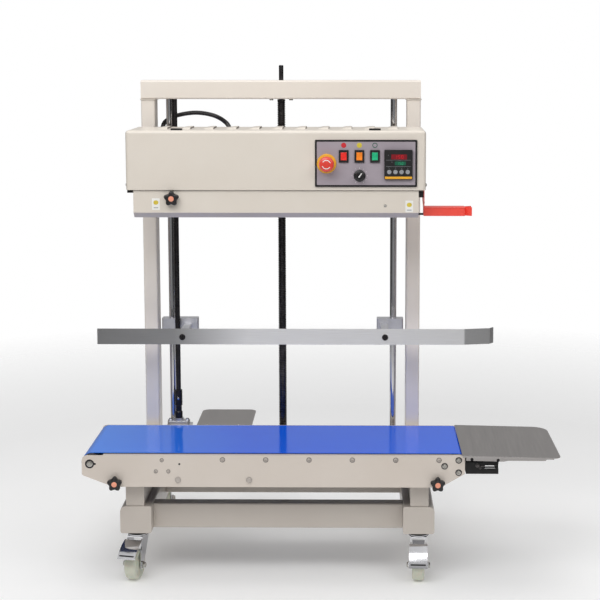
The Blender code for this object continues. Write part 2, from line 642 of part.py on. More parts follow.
def build_chassis():
    """The base and rear plates inside the head, with the blocks that ride the rods and the screw's nut."""
    chassis = add("head_chassis", box(around(0, CHASSIS_HALF), REAR_WALL_Y, REAR_WALL_Z), CREAM)
    base_y = (COVER_Y[0] + 0.010, REAR_WALL_Y[0] + OVERLAP)
    block_y = (REAR_WALL_Y[1] - OVERLAP, SLIDE_BLOCK_REAR)
    near, far = SLIDE_BLOCK_X
    fuse(
        chassis,
        box(around(0, CHASSIS_HALF), base_y, BASE_PLATE_Z),
        box((-far, -near), block_y, SLIDE_BLOCK_Z),
        box((near, far), block_y, SLIDE_BLOCK_Z),
        box(around(0, NUT_BLOCK_HALF), block_y, NUT_BLOCK_Z),
    )
    for x, z in GLANDS:
        fuse(chassis, rod(GLAND_RADIUS, "Y", REAR_WALL_Y[1] - OVERLAP, GLAND_END, x, z, 6))
    for x, y, radius in (
        (-ROD_X, ROD_Y, ROD_RADIUS),
        (ROD_X, ROD_Y, ROD_RADIUS),
        (DRIVE_X, SHAFT_Y, SHAFT_RADIUS),
        (0, SCREW_Y, SCREW_RADIUS),
    ):
        span = (SLIDE_BLOCK_Z[0] - OVERSHOOT, SLIDE_BLOCK_Z[1] + OVERSHOOT)
        cut(chassis, rod(radius + SLIDE_CLEARANCE, "Z", *span, x, y, 32))


def build_sealing_drive():
    """The two bands on their wheels, the heater block that hangs between them, and the motor."""
    for side, y in zip(("front", "rear"), BAND_Y):
        wheels = ((-BAND_X, y, WHEEL_RADIUS), (BAND_X, y, WHEEL_RADIUS))
        band = sleeve(loop(wheels, GAP + BAND_THICKNESS), loop(wheels, GAP), "Z", *BAND_Z)
        add(f"band_{side}", band, BAND_TAN)
        for end, sign in (("left", -1), ("right", 1)):
            low, high = BAND_Z
            profile = [
                (0, low),
                (WHEEL_RADIUS, low),
                (WHEEL_RADIUS, high),
                (SPINDLE_RADIUS, high),
                (SPINDLE_RADIUS, SPINDLE_TOP),
                (0, SPINDLE_TOP),
            ]
            x = sign * BAND_X
            add(f"band_wheel_{end}_{side}", lathe(profile, "Z", x, y), STEEL, at=(x, y, low))

    heater = add("heater_block", box((-0.100, 0.100), (0.118, 0.164), (0.984, HEATER_TOP)), STEEL)
    cut(heater, box((-0.110, 0.110), (0.1378, 0.1442), (0.970, 1.016)))

    motor = add("motor", rod(MOTOR_RADIUS, "X", *MOTOR_X, MOTOR_Y, MOTOR_Z, 32), BLACK_STEEL)
    gearhead_x, gearhead_y = (MOTOR_X[1] - 0.005, MOTOR_X[1] + 0.050), around(MOTOR_Y, 0.030)
    foot_x, foot_y, foot_z = (-0.310, -0.220), around(MOTOR_Y, 0.025), (BASE_PLATE_Z[1] + 0.0005, 1.050)
    fuse(motor, box(gearhead_x, gearhead_y, around(MOTOR_Z, MOTOR_RADIUS)), box(foot_x, foot_y, foot_z))


def build_panel():
    """The control panel on the head's front, and what is on it."""
    x, z = PANEL_X, PANEL_Z
    panel = add("control_panel", prism(rectangle(x, z, 0.003), "Y", *PANEL_Y), PANEL_GREY)
    through = (PANEL_Y[0] - OVERSHOOT, PANEL_Y[1] + OVERSHOOT)
    cut(panel, rod(0.0085, "Y", *through, *ESTOP))
    cut(panel, rod(0.0040, "Y", *through, *SPEED, 16))
    for rocker_x in ROCKER_X:
        cut(panel, box(around(rocker_x, 0.0082), through, around(ROCKER_Z, 0.0118)))
    controller_x, controller_z = CONTROLLER
    cut(panel, box(around(controller_x, 0.0333), through, around(controller_z, 0.0343)))

    front = PANEL_Y[0] - GAP
    bezel = rectangle(around(controller_x, 0.036), around(controller_z, 0.038), 0.002)
    controller = add("temperature_controller", prism(bezel, "Y", 0.0385, front), BLACK)
    fuse(controller, box(around(controller_x, 0.033), (front - 0.002, 0.120), around(controller_z, 0.034)))

    estop_x, estop_z = ESTOP
    cap = [
        (0, 0.0115),
        (0.0120, 0.0120),
        (0.0175, 0.0145),
        (0.0195, 0.0190),
        (0.0195, 0.0260),
        (0.0165, 0.0300),
        (0.0080, 0.0320),
        (0.0080, 0.0750),
        (0, 0.0750),
    ]
    add("estop_button", lathe(cap, "Y", estop_x, estop_z), RED, at=(estop_x, 0.0465, estop_z))

    for name, rocker_x, colour in zip(("red", "amber", "green"), ROCKER_X, (RED, AMBER, GREEN)):
        sides = outline(
            (0.0420, ROCKER_Z - 0.0105, 0.001),
            (0.0437, ROCKER_Z, 0),
            (0.0420, ROCKER_Z + 0.0105, 0.001),
            (0.0560, ROCKER_Z + 0.0060, 0.001),
            (0.0560, ROCKER_Z - 0.0060, 0.001),
        )
        rocker = prism(sides, "X", *around(rocker_x, 0.0075))
        add(f"rocker_{name}", rocker, colour, at=(rocker_x, 0.0500, ROCKER_Z))

    speed_x, speed_z = SPEED
    knob = [
        (0, 0.0300),
        (0.0095, 0.0300),
        (0.0105, 0.0310),
        (0.0110, 0.0400),
        (0.0150, 0.0420),
        (0.0155, front),
        (0.0035, front),
        (0.0035, 0.0600),
        (0, 0.0600),
    ]
    add("speed_knob", lathe(knob, "Y", speed_x, speed_z), BLACK, at=(speed_x, 0.0465, speed_z))


def build_infeed_guide():
    """The channel at the head's right end that leads the bag's mouth between the bands."""
    guide_x, guide_y, guide_z = (0.3825, 0.490), (0.120, 0.164), (0.9602, 0.9832)
    guide = add("infeed_guide", prism(rectangle(guide_y, guide_z, 0.002), "X", *guide_x), RED)
    slot_y = (0.137, 0.147)
    slot_x = (guide_x[0] - OVERSHOOT, guide_x[1] + OVERSHOOT)
    cut(guide, box(slot_x, slot_y, (guide_z[0] - OVERSHOOT, guide_z[1] - 0.004)))
    for y, spread in ((slot_y[0], -1), (slot_y[1], 1)):
        reach = [(0, 0), (0.020, spread * 0.0100), (0.020, spread * 0.0125), (0, spread * 0.0025)]
        wing = [(guide_x[1] - OVERLAP + along, y + aside) for along, aside in reach]
        fuse(guide, prism(wing, "Z", *guide_z))
    low, high = guide_z[1] - 0.0035, COVER_Z[0] - GAP
    flange = [(guide_y[0], low), (guide_y[1], low), (0.244, 1.010), (0.244, high), (guide_y[0], high)]
    fuse(guide, prism(flange, "X", guide_x[0], guide_x[0] + PLATE))


def smooth_route(points, steps):
    """A smooth curve through a route's points, as a list of points on it."""
    ends = [2 * points[0] - points[1], *points, 2 * points[-1] - points[-2]]
    route = []
    for i in range(1, len(ends) - 2):
        a, b, c, d = ends[i - 1 : i + 3]
        for step in range(steps):
            t = step / steps
            pull = 2 * b + (c - a) * t + (2 * a - 5 * b + 4 * c - d) * t**2 + (3 * b - a - 3 * c + d) * t**3
            route.append(pull / 2)
    return route + [points[-1]]


CONDUIT_ROUTE = (
    (-0.3225, 0.263, 1.165),
    (-0.3245, 0.300, 1.166),
    (-0.3305, 0.363, 1.177),
    (-0.3245, 0.385, 1.195),
    (-0.2940, 0.389, 1.211),
    (-0.2405, 0.390, 1.219),
    (-0.1900, 0.389, 1.211),
    (-0.1550, 0.380, 1.191),
    (-0.1410, 0.345, 1.169),
    (-0.1375, 0.300, 1.152),
    (-0.1375, 0.263, 1.150),
)


def build_conduit():
    curve = bpy.data.curves.new("conduit", "CURVE")
    curve.dimensions = "3D"
    curve.bevel_depth = 0.0062
    curve.bevel_resolution = 3
    curve.use_fill_caps = True
    route = smooth_route([Vector(point) for point in CONDUIT_ROUTE], 3)
    spline = curve.splines.new("POLY")
    spline.points.add(len(route) - 1)
    for point, place in zip(spline.points, route):
        point.co = (*place, 1)
    curve.materials.append(BLACK)
    conduit = bpy.data.objects.new("conduit", curve)
    bpy.context.scene.collection.objects.link(conduit)
    conduit.parent = MACHINE


def build_caster(name, x, y, pedal_turn):
    """A swivel caster, drawn trailing towards -Y in its own frame. Without a brake, pedal_turn is None."""
    swivel = bpy.data.objects.new(f"{name}_caster_swivel", None)
    bpy.context.scene.collection.objects.link(swivel)
    swivel.parent = MACHINE
    swivel.location = (x, y, 0)
    swivel.rotation_euler.z = math.radians(CASTER_YAW[name])

    top = LEG_BOTTOM - GAP
    dome = [(0, top), (0.013, top), (0.022, top - 0.0032), (0.0268, 0.1220), (0.0268, 0.1140), (0, 0.1140)]
    fork = add(f"{name}_caster_fork", lathe(dome, "Z", 0, 0), CHROME, parent=swivel)
    fuse(fork, box(around(0, FORK_INNER + FORK_SHEET), (-0.0245, 0.0245), (0.1110, 0.1150)))
    axle_z = CASTER_WHEEL_RADIUS
    cheek = ((-TRAIL, axle_z, 0.012), (0.0205, 0.1110, 0.004), (-0.0205, 0.1110, 0.004))
    for sign in (-1, 1):
        near, far = sign * FORK_INNER, sign * (FORK_INNER + FORK_SHEET)
        fuse(fork, prism(loop(cheek, 0, 5), "X", min(near, far), max(near, far)))
    fuse(fork, rod(AXLE_RADIUS, "X", -0.0265, 0.0265, -TRAIL, axle_z, 16))
    for sign in (-1, 1):
        near, far = sign * (FORK_INNER + FORK_SHEET - 0.0005), sign * 0.0265
        fuse(fork, rod(0.0095, "X", min(near, far), max(near, far), -TRAIL, axle_z, 6))

    half, edge = CASTER_WHEEL_HALF, CASTER_WHEEL_RADIUS
    tyre = [
        (CASTER_BORE, -half),
        (edge - 0.009, -half),
        (edge - 0.003, -half + 0.003),
        (edge, -half + 0.009),
        (edge, half - 0.009),
        (edge - 0.003, half - 0.003),
        (edge - 0.009, half),
        (CASTER_BORE, half),
    ]
    wheel = lathe(tyre, "X", -TRAIL, axle_z, 32)
    add(f"{name}_caster_wheel", wheel, NYLON, at=(0, -TRAIL, axle_z), parent=swivel)

    if pedal_turn is None:
        return
    line = [(-0.0335, 0.1080), (-0.058, 0.1000), (-0.080, 0.0850), (-0.090, 0.0740)]
    pedal = add(f"{name}_brake_pedal", prism(folded(line, 0.0025), "X", -0.024, 0.024), CHROME,
                at=PEDAL_HINGE, parent=swivel)
    tongue = [
        (-0.036, 0.1075),
        (-0.036, 0.1020),
        (-0.018, 0.0950),
        (-0.010, 0.0950),
        (-0.010, 0.1010),
        (-0.018, 0.1040),
    ]
    fuse(pedal, prism(tongue, "X", -0.016, 0.016))
    tool = bpy.data.objects[f"{pedal.name}_tool_0"]
    about_hinge = Matrix.Translation(PEDAL_HINGE) @ Matrix.Rotation(pedal_turn, 4, "X")
    for piece in (pedal, tool):
        piece.matrix_local = about_hinge @ Matrix.Translation(piece.location - PEDAL_HINGE)


def build_casters():
    for side, sign in (("left", -1), ("right", 1)):
        pressed = PEDAL_DOWN if side == "right" else 0.0
        build_caster(f"{side}_front", sign * CASTER_X, CASTER_Y["front"], pressed)
        build_caster(f"{side}_rear", sign * CASTER_X, CASTER_Y["rear"], None)


build_stand()
build_screw()
build_conveyor()
build_knobs()
build_table()
build_drive_shaft()
build_guide_bar()
build_cover()
build_guard()
build_chassis()
build_sealing_drive()
build_panel()
build_infeed_guide()
build_conduit()
build_casters()
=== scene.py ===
import math

import bmesh
import bpy
from mathutils import Matrix, Vector


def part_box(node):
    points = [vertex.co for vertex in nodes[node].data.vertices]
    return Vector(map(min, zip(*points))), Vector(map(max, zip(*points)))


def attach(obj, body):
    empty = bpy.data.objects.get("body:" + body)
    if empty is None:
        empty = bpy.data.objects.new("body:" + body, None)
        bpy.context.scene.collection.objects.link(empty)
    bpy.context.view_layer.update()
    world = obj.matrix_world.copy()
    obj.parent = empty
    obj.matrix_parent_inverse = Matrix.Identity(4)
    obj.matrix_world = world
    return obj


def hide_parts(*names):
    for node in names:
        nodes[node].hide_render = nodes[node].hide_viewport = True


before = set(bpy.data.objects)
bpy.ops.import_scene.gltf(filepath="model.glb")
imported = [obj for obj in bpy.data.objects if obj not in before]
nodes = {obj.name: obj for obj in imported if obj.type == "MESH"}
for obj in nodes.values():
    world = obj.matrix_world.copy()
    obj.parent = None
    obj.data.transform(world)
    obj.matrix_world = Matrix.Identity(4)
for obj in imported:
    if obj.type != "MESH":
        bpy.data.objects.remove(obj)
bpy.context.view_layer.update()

for name in ("Cube", "Camera", "Light"):
    leftover = bpy.data.objects.get(name)
    if leftover:
        bpy.data.objects.remove(leftover, do_unlink=True)

# Machine coordinates: X from the lead screw, Y from the conveyor's front face, Z from the floor.
screw_low, screw_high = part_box("lead_screw")
plate_low, plate_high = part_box("conveyor_front_plate")
ORIGIN = Vector(((screw_low.x + screw_high.x) / 2, plate_low.y, 0))


def place(x, y, z):
    return ORIGIN + Vector((x, y, z))


def limits(node):
    """A node's box in machine coordinates."""
    low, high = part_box(node)
    return low - ORIGIN, high - ORIGIN


def centre(node):
    low, high = limits(node)
    return (low + high) / 2


def srgb(red, green, blue):
    """A colour given as 0 to 255 on a screen, in linear light."""
    values = [value / 255 for value in (red, green, blue)]
    return tuple(v / 12.92 if v <= 0.04045 else ((v + 0.055) / 1.055) ** 2.4 for v in values)


# Materials


def shader(name, roughness, metallic=0.0, **constants):
    """A Principled material; constants are sockets that hold one value all over."""
    material = bpy.data.materials.new(name)
    material.use_nodes = True
    tree = material.node_tree
    principled = tree.nodes["Principled BSDF"]
    principled.inputs["Roughness"].default_value = roughness
    principled.inputs["Metallic"].default_value = metallic
    for socket, value in constants.items():
        principled.inputs[socket.replace("_", " ")].default_value = value
    return material, tree, principled


def vector(tree, stretch=(1, 1, 1)):
    """Object coordinates, scaled on each axis."""
    source = tree.nodes.new("ShaderNodeTexCoord")
    mapping = tree.nodes.new("ShaderNodeMapping")
    mapping.inputs["Scale"].default_value = stretch
    tree.links.new(source.outputs["Object"], mapping.inputs["Vector"])
    return mapping.outputs["Vector"]


def noise(tree, scale, detail=3.0, stretch=(1, 1, 1), rough=0.55):
    texture = tree.nodes.new("ShaderNodeTexNoise")
    texture.inputs["Scale"].default_value = scale
    texture.inputs["Detail"].default_value = detail
    texture.inputs["Roughness"].default_value = rough
    tree.links.new(vector(tree, stretch), texture.inputs["Vector"])
    return texture.outputs["Fac"]


def span(tree, value, low, high, start=0.3, end=0.7):
    """Maps a value from start..end to low..high."""
    node = tree.nodes.new("ShaderNodeMapRange")
    for socket, number in zip(("From Min", "From Max", "To Min", "To Max"), (start, end, low, high)):
        node.inputs[socket].default_value = number
    tree.links.new(value, node.inputs["Value"])
    return node.outputs["Result"]


def blend(tree, value, first, second):
    """A colour between two, by a value from 0.3 to 0.7, as a noise gives it."""
    ramp = tree.nodes.new("ShaderNodeValToRGB")
    ramp.color_ramp.elements[0].position, ramp.color_ramp.elements[1].position = 0.3, 0.7
    ramp.color_ramp.elements[0].color = (*first, 1)
    ramp.color_ramp.elements[1].color = (*second, 1)
    tree.links.new(value, ramp.inputs["Fac"])
    return ramp.outputs["Color"]


def axis(tree, letter, source="Object"):
    """One coordinate, in the object's own metres."""
    coordinates = tree.nodes.new("ShaderNodeTexCoord")
    parts = tree.nodes.new("ShaderNodeSeparateXYZ")
    tree.links.new(coordinates.outputs[source], parts.inputs["Vector"])
    return parts.outputs[letter]


def feed(tree, socket, value):
    """Links an output to a socket, or sets the socket to a constant."""
    if isinstance(value, bpy.types.NodeSocket):
        tree.links.new(value, socket)
    else:
        socket.default_value = value


def worked(tree, operation, *values):
    """The result of a Math node."""
    node = tree.nodes.new("ShaderNodeMath")
    node.operation = operation
    for value, socket in zip(values, node.inputs):
        tree.links.new(value, socket)
    return node.outputs[0]


def mixed(tree, share, first, second, kind="MIX"):
    """A colour between two, by a share from 0 to 1."""
    mix = tree.nodes.new("ShaderNodeMix")
    mix.data_type = "RGBA"
    mix.blend_type = kind
    for socket, value in zip((mix.inputs["Factor"], mix.inputs[6], mix.inputs[7]), (share, first, second)):
        feed(tree, socket, value)
    return mix.outputs[2]


def finish(tree, principled, colour, shine, height, depth, strength=1.0):
    """Feeds a shader its colour, its roughness where that wanders, and its bumps."""
    tree.links.new(colour, principled.inputs["Base Color"])
    if shine:
        tree.links.new(shine, principled.inputs["Roughness"])
    node = tree.nodes.new("ShaderNodeBump")
    node.inputs["Strength"].default_value = strength
    node.inputs["Distance"].default_value = depth
    tree.links.new(height, node.inputs["Height"])
    tree.links.new(node.outputs["Normal"], principled.inputs["Normal"])


def mottled(name, first, second, roughness, spread=0.05, scale=6.0, grain=900.0, depth=0.00005,
            metallic=0.0, **constants):
    """A finish whose colour and roughness wander a little, with a fine grain in its surface."""
    material, tree, principled = shader(name, roughness, metallic, **constants)
    colour = blend(tree, noise(tree, scale, 4), srgb(*first), srgb(*second))
    shine = span(tree, noise(tree, scale * 3.1, 5), roughness - spread, roughness + spread)
    finish(tree, principled, colour, shine, noise(tree, grain, 2), depth)
    return material


def paint(name, first, second):
    """Powder coat with a thin gloss."""
    return mottled(name, first, second, 0.36, 0.04, 5, 700, 0.00006, Coat_Weight=0.25, Coat_Roughness=0.18)


def ink(name, first, second, roughness=0.5):
    return mottled(name, first, second, roughness, 0.04, 80, 900, 0.00001)


def brushed(name, first, second, roughness, along="X", lines=900.0, depth=0.00002):
    """Steel brushed along one axis, with fine lines of uneven shine."""
    material, tree, principled = shader(name, roughness, 1.0)
    streak = noise(tree, lines, 2, [0.012 if letter == along else 1 for letter in "XYZ"])
    shine = span(tree, streak, roughness - 0.06, roughness + 0.08)
    finish(tree, principled, blend(tree, streak, srgb(*first), srgb(*second)), shine, streak, depth, 0.6)
    return material


def graded(name, stops, low, high, roughness, lines, depth):
    """Brushed steel with a painted reflection of the room: its tone follows stops of (X in metres, grey)
    along it.
    """
    material, tree, principled = shader(name, roughness, 0.45)
    ramp = tree.nodes.new("ShaderNodeValToRGB")
    elements = ramp.color_ramp.elements
    for number, (x, grey) in enumerate(stops):
        element = elements[number] if number < 2 else elements.new(0.5)
        element.position = (x - low) / (high - low)
        element.color = (*srgb(grey, grey, grey), 1)
    tree.links.new(span(tree, axis(tree, "X"), 0.0, 1.0, low, high), ramp.inputs["Fac"])
    streak = noise(tree, lines, 2, (0.012, 1, 1))
    lined = blend(tree, streak, (0.90, 0.89, 0.89), (1.0, 1.0, 1.0))
    colour = mixed(tree, 1.0, ramp.outputs["Color"], lined, "MULTIPLY")
    shine = span(tree, streak, roughness - 0.05, roughness + 0.06)
    finish(tree, principled, colour, shine, streak, depth, 0.5)
    return material


def shaded_below(name, upper, lower, level, roughness, **constants):
    """A finish that turns to a darker one below a level in metres, where little light reaches it."""
    material, tree, principled = shader(name, roughness, **constants)
    share = span(tree, axis(tree, "Z"), 0.0, 1.0, level - 0.0004, level + 0.0004)
    cloud = noise(tree, 6, 4)
    pairs = [blend(tree, cloud, srgb(*first), srgb(*second)) for first, second in (lower, upper)]
    shine = span(tree, noise(tree, 18, 5), roughness - 0.04, roughness + 0.04)
    finish(tree, principled, mixed(tree, share, *pairs), shine, noise(tree, 700, 2), 0.00005)
    return material


def belt_with_painted_light():
    """Glossy blue belt with a painted reflection that makes it paler towards its left end, and painted shade
    that makes its lower run dark.
    """
    material, tree, principled = shader("blue_belt", 0.15, Coat_Weight=0.25, Coat_Roughness=0.05,
                                        Specular_IOR_Level=0.4)
    # Painted reflection: the blue turns paler towards the belt's left end.
    share = span(tree, axis(tree, "X"), 0.0, 1.0, -0.62, -0.20)
    wander = worked(tree, "ADD", share, span(tree, noise(tree, 4), -0.06, 0.06))
    ramp = tree.nodes.new("ShaderNodeValToRGB")
    ramp.color_ramp.elements[0].color = (*srgb(58, 136, 246), 1)
    ramp.color_ramp.elements[1].color = (*srgb(12, 98, 240), 1)
    tree.links.new(wander, ramp.inputs["Fac"])
    # Painted shade: the lower run, below 0.325 m, turns dark navy.
    upper_run = span(tree, axis(tree, "Z"), 0.0, 1.0, 0.325, 0.335)
    colour = mixed(tree, upper_run, (*srgb(10, 30, 72), 1), ramp.outputs["Color"])
    shine = span(tree, noise(tree, 12, 5), 0.11, 0.19)
    finish(tree, principled, colour, shine, noise(tree, 1400, 2), 0.00001)
    return material


def woven(name, first, second, roughness, pitch, depth):
    """A coated cloth: warp and weft show as crossed waves."""
    material, tree, principled = shader(name, roughness)
    heights = []
    for letter in "XZ":
        wave = tree.nodes.new("ShaderNodeTexWave")
        wave.bands_direction = letter
        wave.inputs["Scale"].default_value = 0.5 / pitch
        tree.links.new(vector(tree), wave.inputs["Vector"])
        heights.append(wave.outputs["Fac"])
    colour = blend(tree, noise(tree, 30), srgb(*first), srgb(*second))
    finish(tree, principled, colour, None, worked(tree, "MULTIPLY", *heights), depth)
    return material


def glowing(name, colour, strength, roughness=0.3):
    """A lit lens: coloured plastic that shines a little unevenly from within."""
    material, tree, principled = shader(name, roughness, Coat_Weight=0.5)
    bright = srgb(*colour)
    shade = blend(tree, noise(tree, 120, 2), [0.7 * value for value in bright], bright)
    tree.links.new(shade, principled.inputs["Emission Color"])
    principled.inputs["Emission Strength"].default_value = strength
    finish(tree, principled, shade, None, noise(tree, 600, 2), 0.00003)
    return material


PAINT = paint("cream_paint", (224, 215, 203), (228, 220, 209))
# Painted light: a lighter copy of the cream paint, so that the posts and the top beam look more brightly lit
# than the rest.
LIT_PAINT = paint("cream_paint_painted_light", (237, 228, 218), (241, 233, 223))
# Painted shade: the guard's paint turns darker on its lower chamfer, below 0.9752 m.
GUARD_PAINT = shaded_below("cream_guard_paint_shaded_below", ((224, 215, 203), (228, 220, 209)),
                           ((186, 178, 173), (192, 184, 179)), 0.9752, 0.36, Coat_Weight=0.25,
                           Coat_Roughness=0.18)
SCREW_STEEL = mottled("screw_steel", (62, 60, 62), (96, 93, 95), 0.24, 0.06, 60, 900, 0.00002, 0.95)
# Painted shade: a darker copy of the cream paint for the conveyor's side plates.
SHADED_PLATE_PAINT = paint("cream_paint_plate_painted_shade", (212, 201, 190), (216, 206, 196))
# Painted shade: a darker copy of the cream paint for the low frame, as light falls off towards the floor.
SHADED_LOW_PAINT = mottled("cream_paint_low_painted_shade", (193, 184, 175), (198, 190, 181), 0.38, 0.04, 5, 700, 0.00006,
                    Coat_Weight=0.2, Coat_Roughness=0.2)
# Painted shade: grey for the mouths under the louvres' hoods.
LOUVRE_SHADE = mottled("louvre_shade", (112, 106, 102), (128, 121, 116), 0.6, 0.05, 20, 900, 0.00003)
# Painted shade: a darker copy of the cream paint for the conveyor's painted screws.
SHADED_SCREW_PAINT = mottled("cream_paint_shaded", (176, 168, 162), (186, 178, 171), 0.42, 0.04, 5, 700, 0.00006)
BELT = belt_with_painted_light()
BLACK = mottled("black_plastic", (26, 25, 26), (34, 32, 33), 0.38, 0.06, 20, 1800, 0.00004)
RUBBER = mottled("black_hose", (34, 32, 34), (46, 43, 45), 0.30, 0.05, 25, 1200, 0.00004)
# Painted shade: near black for slabs that stand for the shade inside slots and vents, and for darkening the
# table bracket.
RECESS_SHADE_BLACK = mottled("painted_recess_shade", (8, 8, 8), (16, 15, 15), 0.7, 0.05, 40, 900, 0.00002)
TABLE_STEEL = brushed("table_steel", (172, 168, 166), (180, 176, 174), 0.36, "Y", 500, 0.000004)
# Painted reflection: the bar's tone rises and falls along it where it mirrors the room.
BAR_STEEL = graded("guide_bar_steel_painted_reflection", ((-0.60, 132), (-0.40, 150), (-0.20, 234), (-0.02, 235), (0.17, 160),
                                       (0.36, 158), (0.385, 225)), -0.62, 0.62, 0.40, 1100, 0.000015)
STEEL = brushed("brushed_steel", (150, 148, 146), (172, 170, 168), 0.32, "X", 900)
ROLLER_STEEL = brushed("roller_steel", (150, 148, 146), (176, 174, 172), 0.25, "Y", 900)
# Painted shade: a darker copy of brushed steel for the lock under the table.
SHADE_STEEL = brushed("channel_steel_painted_shade", (84, 80, 80), (100, 97, 96), 0.38, "X", 900)
ALUMINIUM = mottled("aluminium", (206, 206, 210), (220, 220, 224), 0.42, 0.06, 30, 800, 0.00006, 1.0)
CHROME = mottled("chrome", (205, 205, 208), (222, 222, 225), 0.10, 0.03, 15, 300, 0.000004, 1.0)
ZINC = mottled("zinc_plate", (165, 162, 156), (192, 190, 184), 0.30, 0.06, 120, 1500, 0.00001, 1.0)
BLACK_STEEL = mottled("black_steel", (38, 36, 38), (56, 54, 56), 0.30, 0.07, 40, 900, 0.00003, 0.7)
NYLON = mottled("nylon", (203, 205, 188), (214, 214, 198), 0.45, 0.05, 25, 500, 0.00004,
                Subsurface_Weight=0.15, Subsurface_Scale=0.004)
RED = mottled("red_plastic", (224, 64, 52), (236, 76, 62), 0.34, 0.05, 30, 1300, 0.00003, Coat_Weight=0.3)
RED_PAINT = mottled("red_paint", (249, 74, 60), (255, 92, 78), 0.38, 0.05, 14, 900, 0.00004,
                    Coat_Weight=0.3, Coat_Roughness=0.2)
YELLOW = mottled("yellow_plastic", (236, 170, 40), (243, 182, 56), 0.38, 0.05, 30, 1300, 0.00003)
SALMON = mottled("orange_cap", (238, 152, 122), (247, 168, 140), 0.40, 0.05, 60, 1500, 0.00003)
PANEL = mottled("panel_grey", (160, 150, 158), (168, 158, 166), 0.50, 0.04, 12, 1600, 0.00004)
LABEL = mottled("label_film", (240, 239, 235), (248, 247, 243), 0.35, 0.04, 40, 900, 0.00001)
LABEL_YELLOW = ink("label_yellow", (214, 190, 60), (224, 202, 80), 0.4)
WHITE_PRINT = ink("white_print", (232, 230, 228), (245, 244, 242), 0.45)
GREY_KEY = mottled("grey_key", (140, 142, 146), (164, 166, 170), 0.42, 0.05, 90, 1500, 0.00003)
GREEN_PRINT = ink("green_print", (20, 84, 66), (28, 100, 80))
RED_PRINT = ink("red_print", (196, 36, 44), (210, 46, 54))
YELLOW_PRINT = ink("yellow_print", (206, 186, 50), (220, 200, 70))
LIT_RED = glowing("lit_red", (226, 40, 30), 0.35)
LIT_AMBER = glowing("lit_amber", (240, 130, 24), 0.35)
LIT_GREEN = glowing("lit_green", (24, 168, 116), 0.35)
DISPLAY_RED = glowing("display_red", (120, 12, 24), 0.35, 0.15)
DISPLAY_GREEN = glowing("display_green", (20, 84, 62), 0.35, 0.15)
DIGIT_RED = glowing("digit_red", (190, 26, 34), 0.8, 0.2)
DIGIT_GREEN = glowing("digit_green", (40, 150, 104), 0.8, 0.2)
BAND = woven("sealing_band", (140, 96, 60), (158, 112, 72), 0.5, 0.0012, 0.00008)


# CAD nodes: a finish for each, and edges as a press brake or a mould leaves them


def smoothing():
    """A node group that shades a mesh smooth except over edges turned by more than 30 degrees."""
    group = bpy.data.node_groups.new("smooth_by_angle", "GeometryNodeTree")
    group.interface.new_socket("Geometry", in_out="INPUT", socket_type="NodeSocketGeometry")
    group.interface.new_socket("Geometry", in_out="OUTPUT", socket_type="NodeSocketGeometry")
    start, end = group.nodes.new("NodeGroupInput"), group.nodes.new("NodeGroupOutput")
    faces = group.nodes.new("GeometryNodeSetShadeSmooth")
    edges = group.nodes.new("GeometryNodeSetShadeSmooth")
    edges.domain = "EDGE"
    edges.inputs["Shade Smooth"].default_value = False
    angle = group.nodes.new("GeometryNodeInputMeshEdgeAngle")
    sharp = group.nodes.new("FunctionNodeCompare")
    sharp.inputs[1].default_value = math.radians(30)
    group.links.new(start.outputs[0], faces.inputs["Geometry"])
    group.links.new(faces.outputs[0], edges.inputs["Geometry"])
    group.links.new(angle.outputs[0], sharp.inputs[0])
    group.links.new(sharp.outputs[0], edges.inputs["Selection"])
    group.links.new(edges.outputs[0], end.inputs[0])
    return group


SMOOTHING = smoothing()


def dress(material, *names, edge=0.0):
    """Gives CAD nodes a material, and rounds their edges by a width in metres."""
    for name in names:
        node = nodes[name]
        for holder in node.material_slots:
            holder.material = material
        weld = node.modifiers.new("weld", "WELD")
        weld.merge_threshold = 0.00001
        flat = node.modifiers.new("flat_faces", "DECIMATE")
        flat.decimate_type = "DISSOLVE"
        flat.angle_limit = math.radians(0.5)
        if edge:
            bevel = node.modifiers.new("edges", "BEVEL")
            bevel.width = edge
            bevel.segments = 2
            bevel.limit_method = "ANGLE"
            bevel.angle_limit = math.radians(32)
        smooth = node.modifiers.new("smooth", "NODES")
        smooth.node_group = SMOOTHING
        weighted = node.modifiers.new("normals", "WEIGHTED_NORMAL")
        weighted.keep_sharp = True


SIDES = ("left", "right")
CORNERS = [f"{side}_{end}" for side in SIDES for end in ("front", "rear")]

# The legs, beams and stands take the darker low copy of the cream paint: painted shade.
dress(SHADED_LOW_PAINT, "left_leg", "right_leg", "crossbar", "lower_beam", "left_stand", "right_stand", edge=0.0004)
# The posts and the top beam take the lighter copy of the cream paint: painted light.
dress(LIT_PAINT, "left_post", "right_post", "top_beam", edge=0.0004)
# The conveyor's plates take the darker copy of the cream paint: painted shade.
dress(SHADED_PLATE_PAINT, "conveyor_front_plate", "conveyor_rear_plate", edge=0.0005)
dress(PAINT, "head_chassis", edge=0.0005)
# The guard takes the paint with painted shade below its chamfer.
dress(GUARD_PAINT, "front_guard", edge=0.0005)
dress(PAINT, "head_cover", edge=0.0003)
dress(BELT, "belt")
dress(TABLE_STEEL, "infeed_table", "rear_shelf", edge=0.0005)
# The guide bar takes the steel with the painted reflection.
dress(BAR_STEEL, "guide_bar", edge=0.0006)
dress(STEEL, "slider_bed")
dress(ROLLER_STEEL, "left_roller", "drive_roller", "right_roller")
dress(ALUMINIUM, "left_clamp", "right_clamp", "heater_block", "conveyor_gearbox", edge=0.0006)
dress(CHROME, "left_guide_rod", "right_guide_rod")
dress(BLACK_STEEL, "motor", "drive_shaft", edge=0.0004)
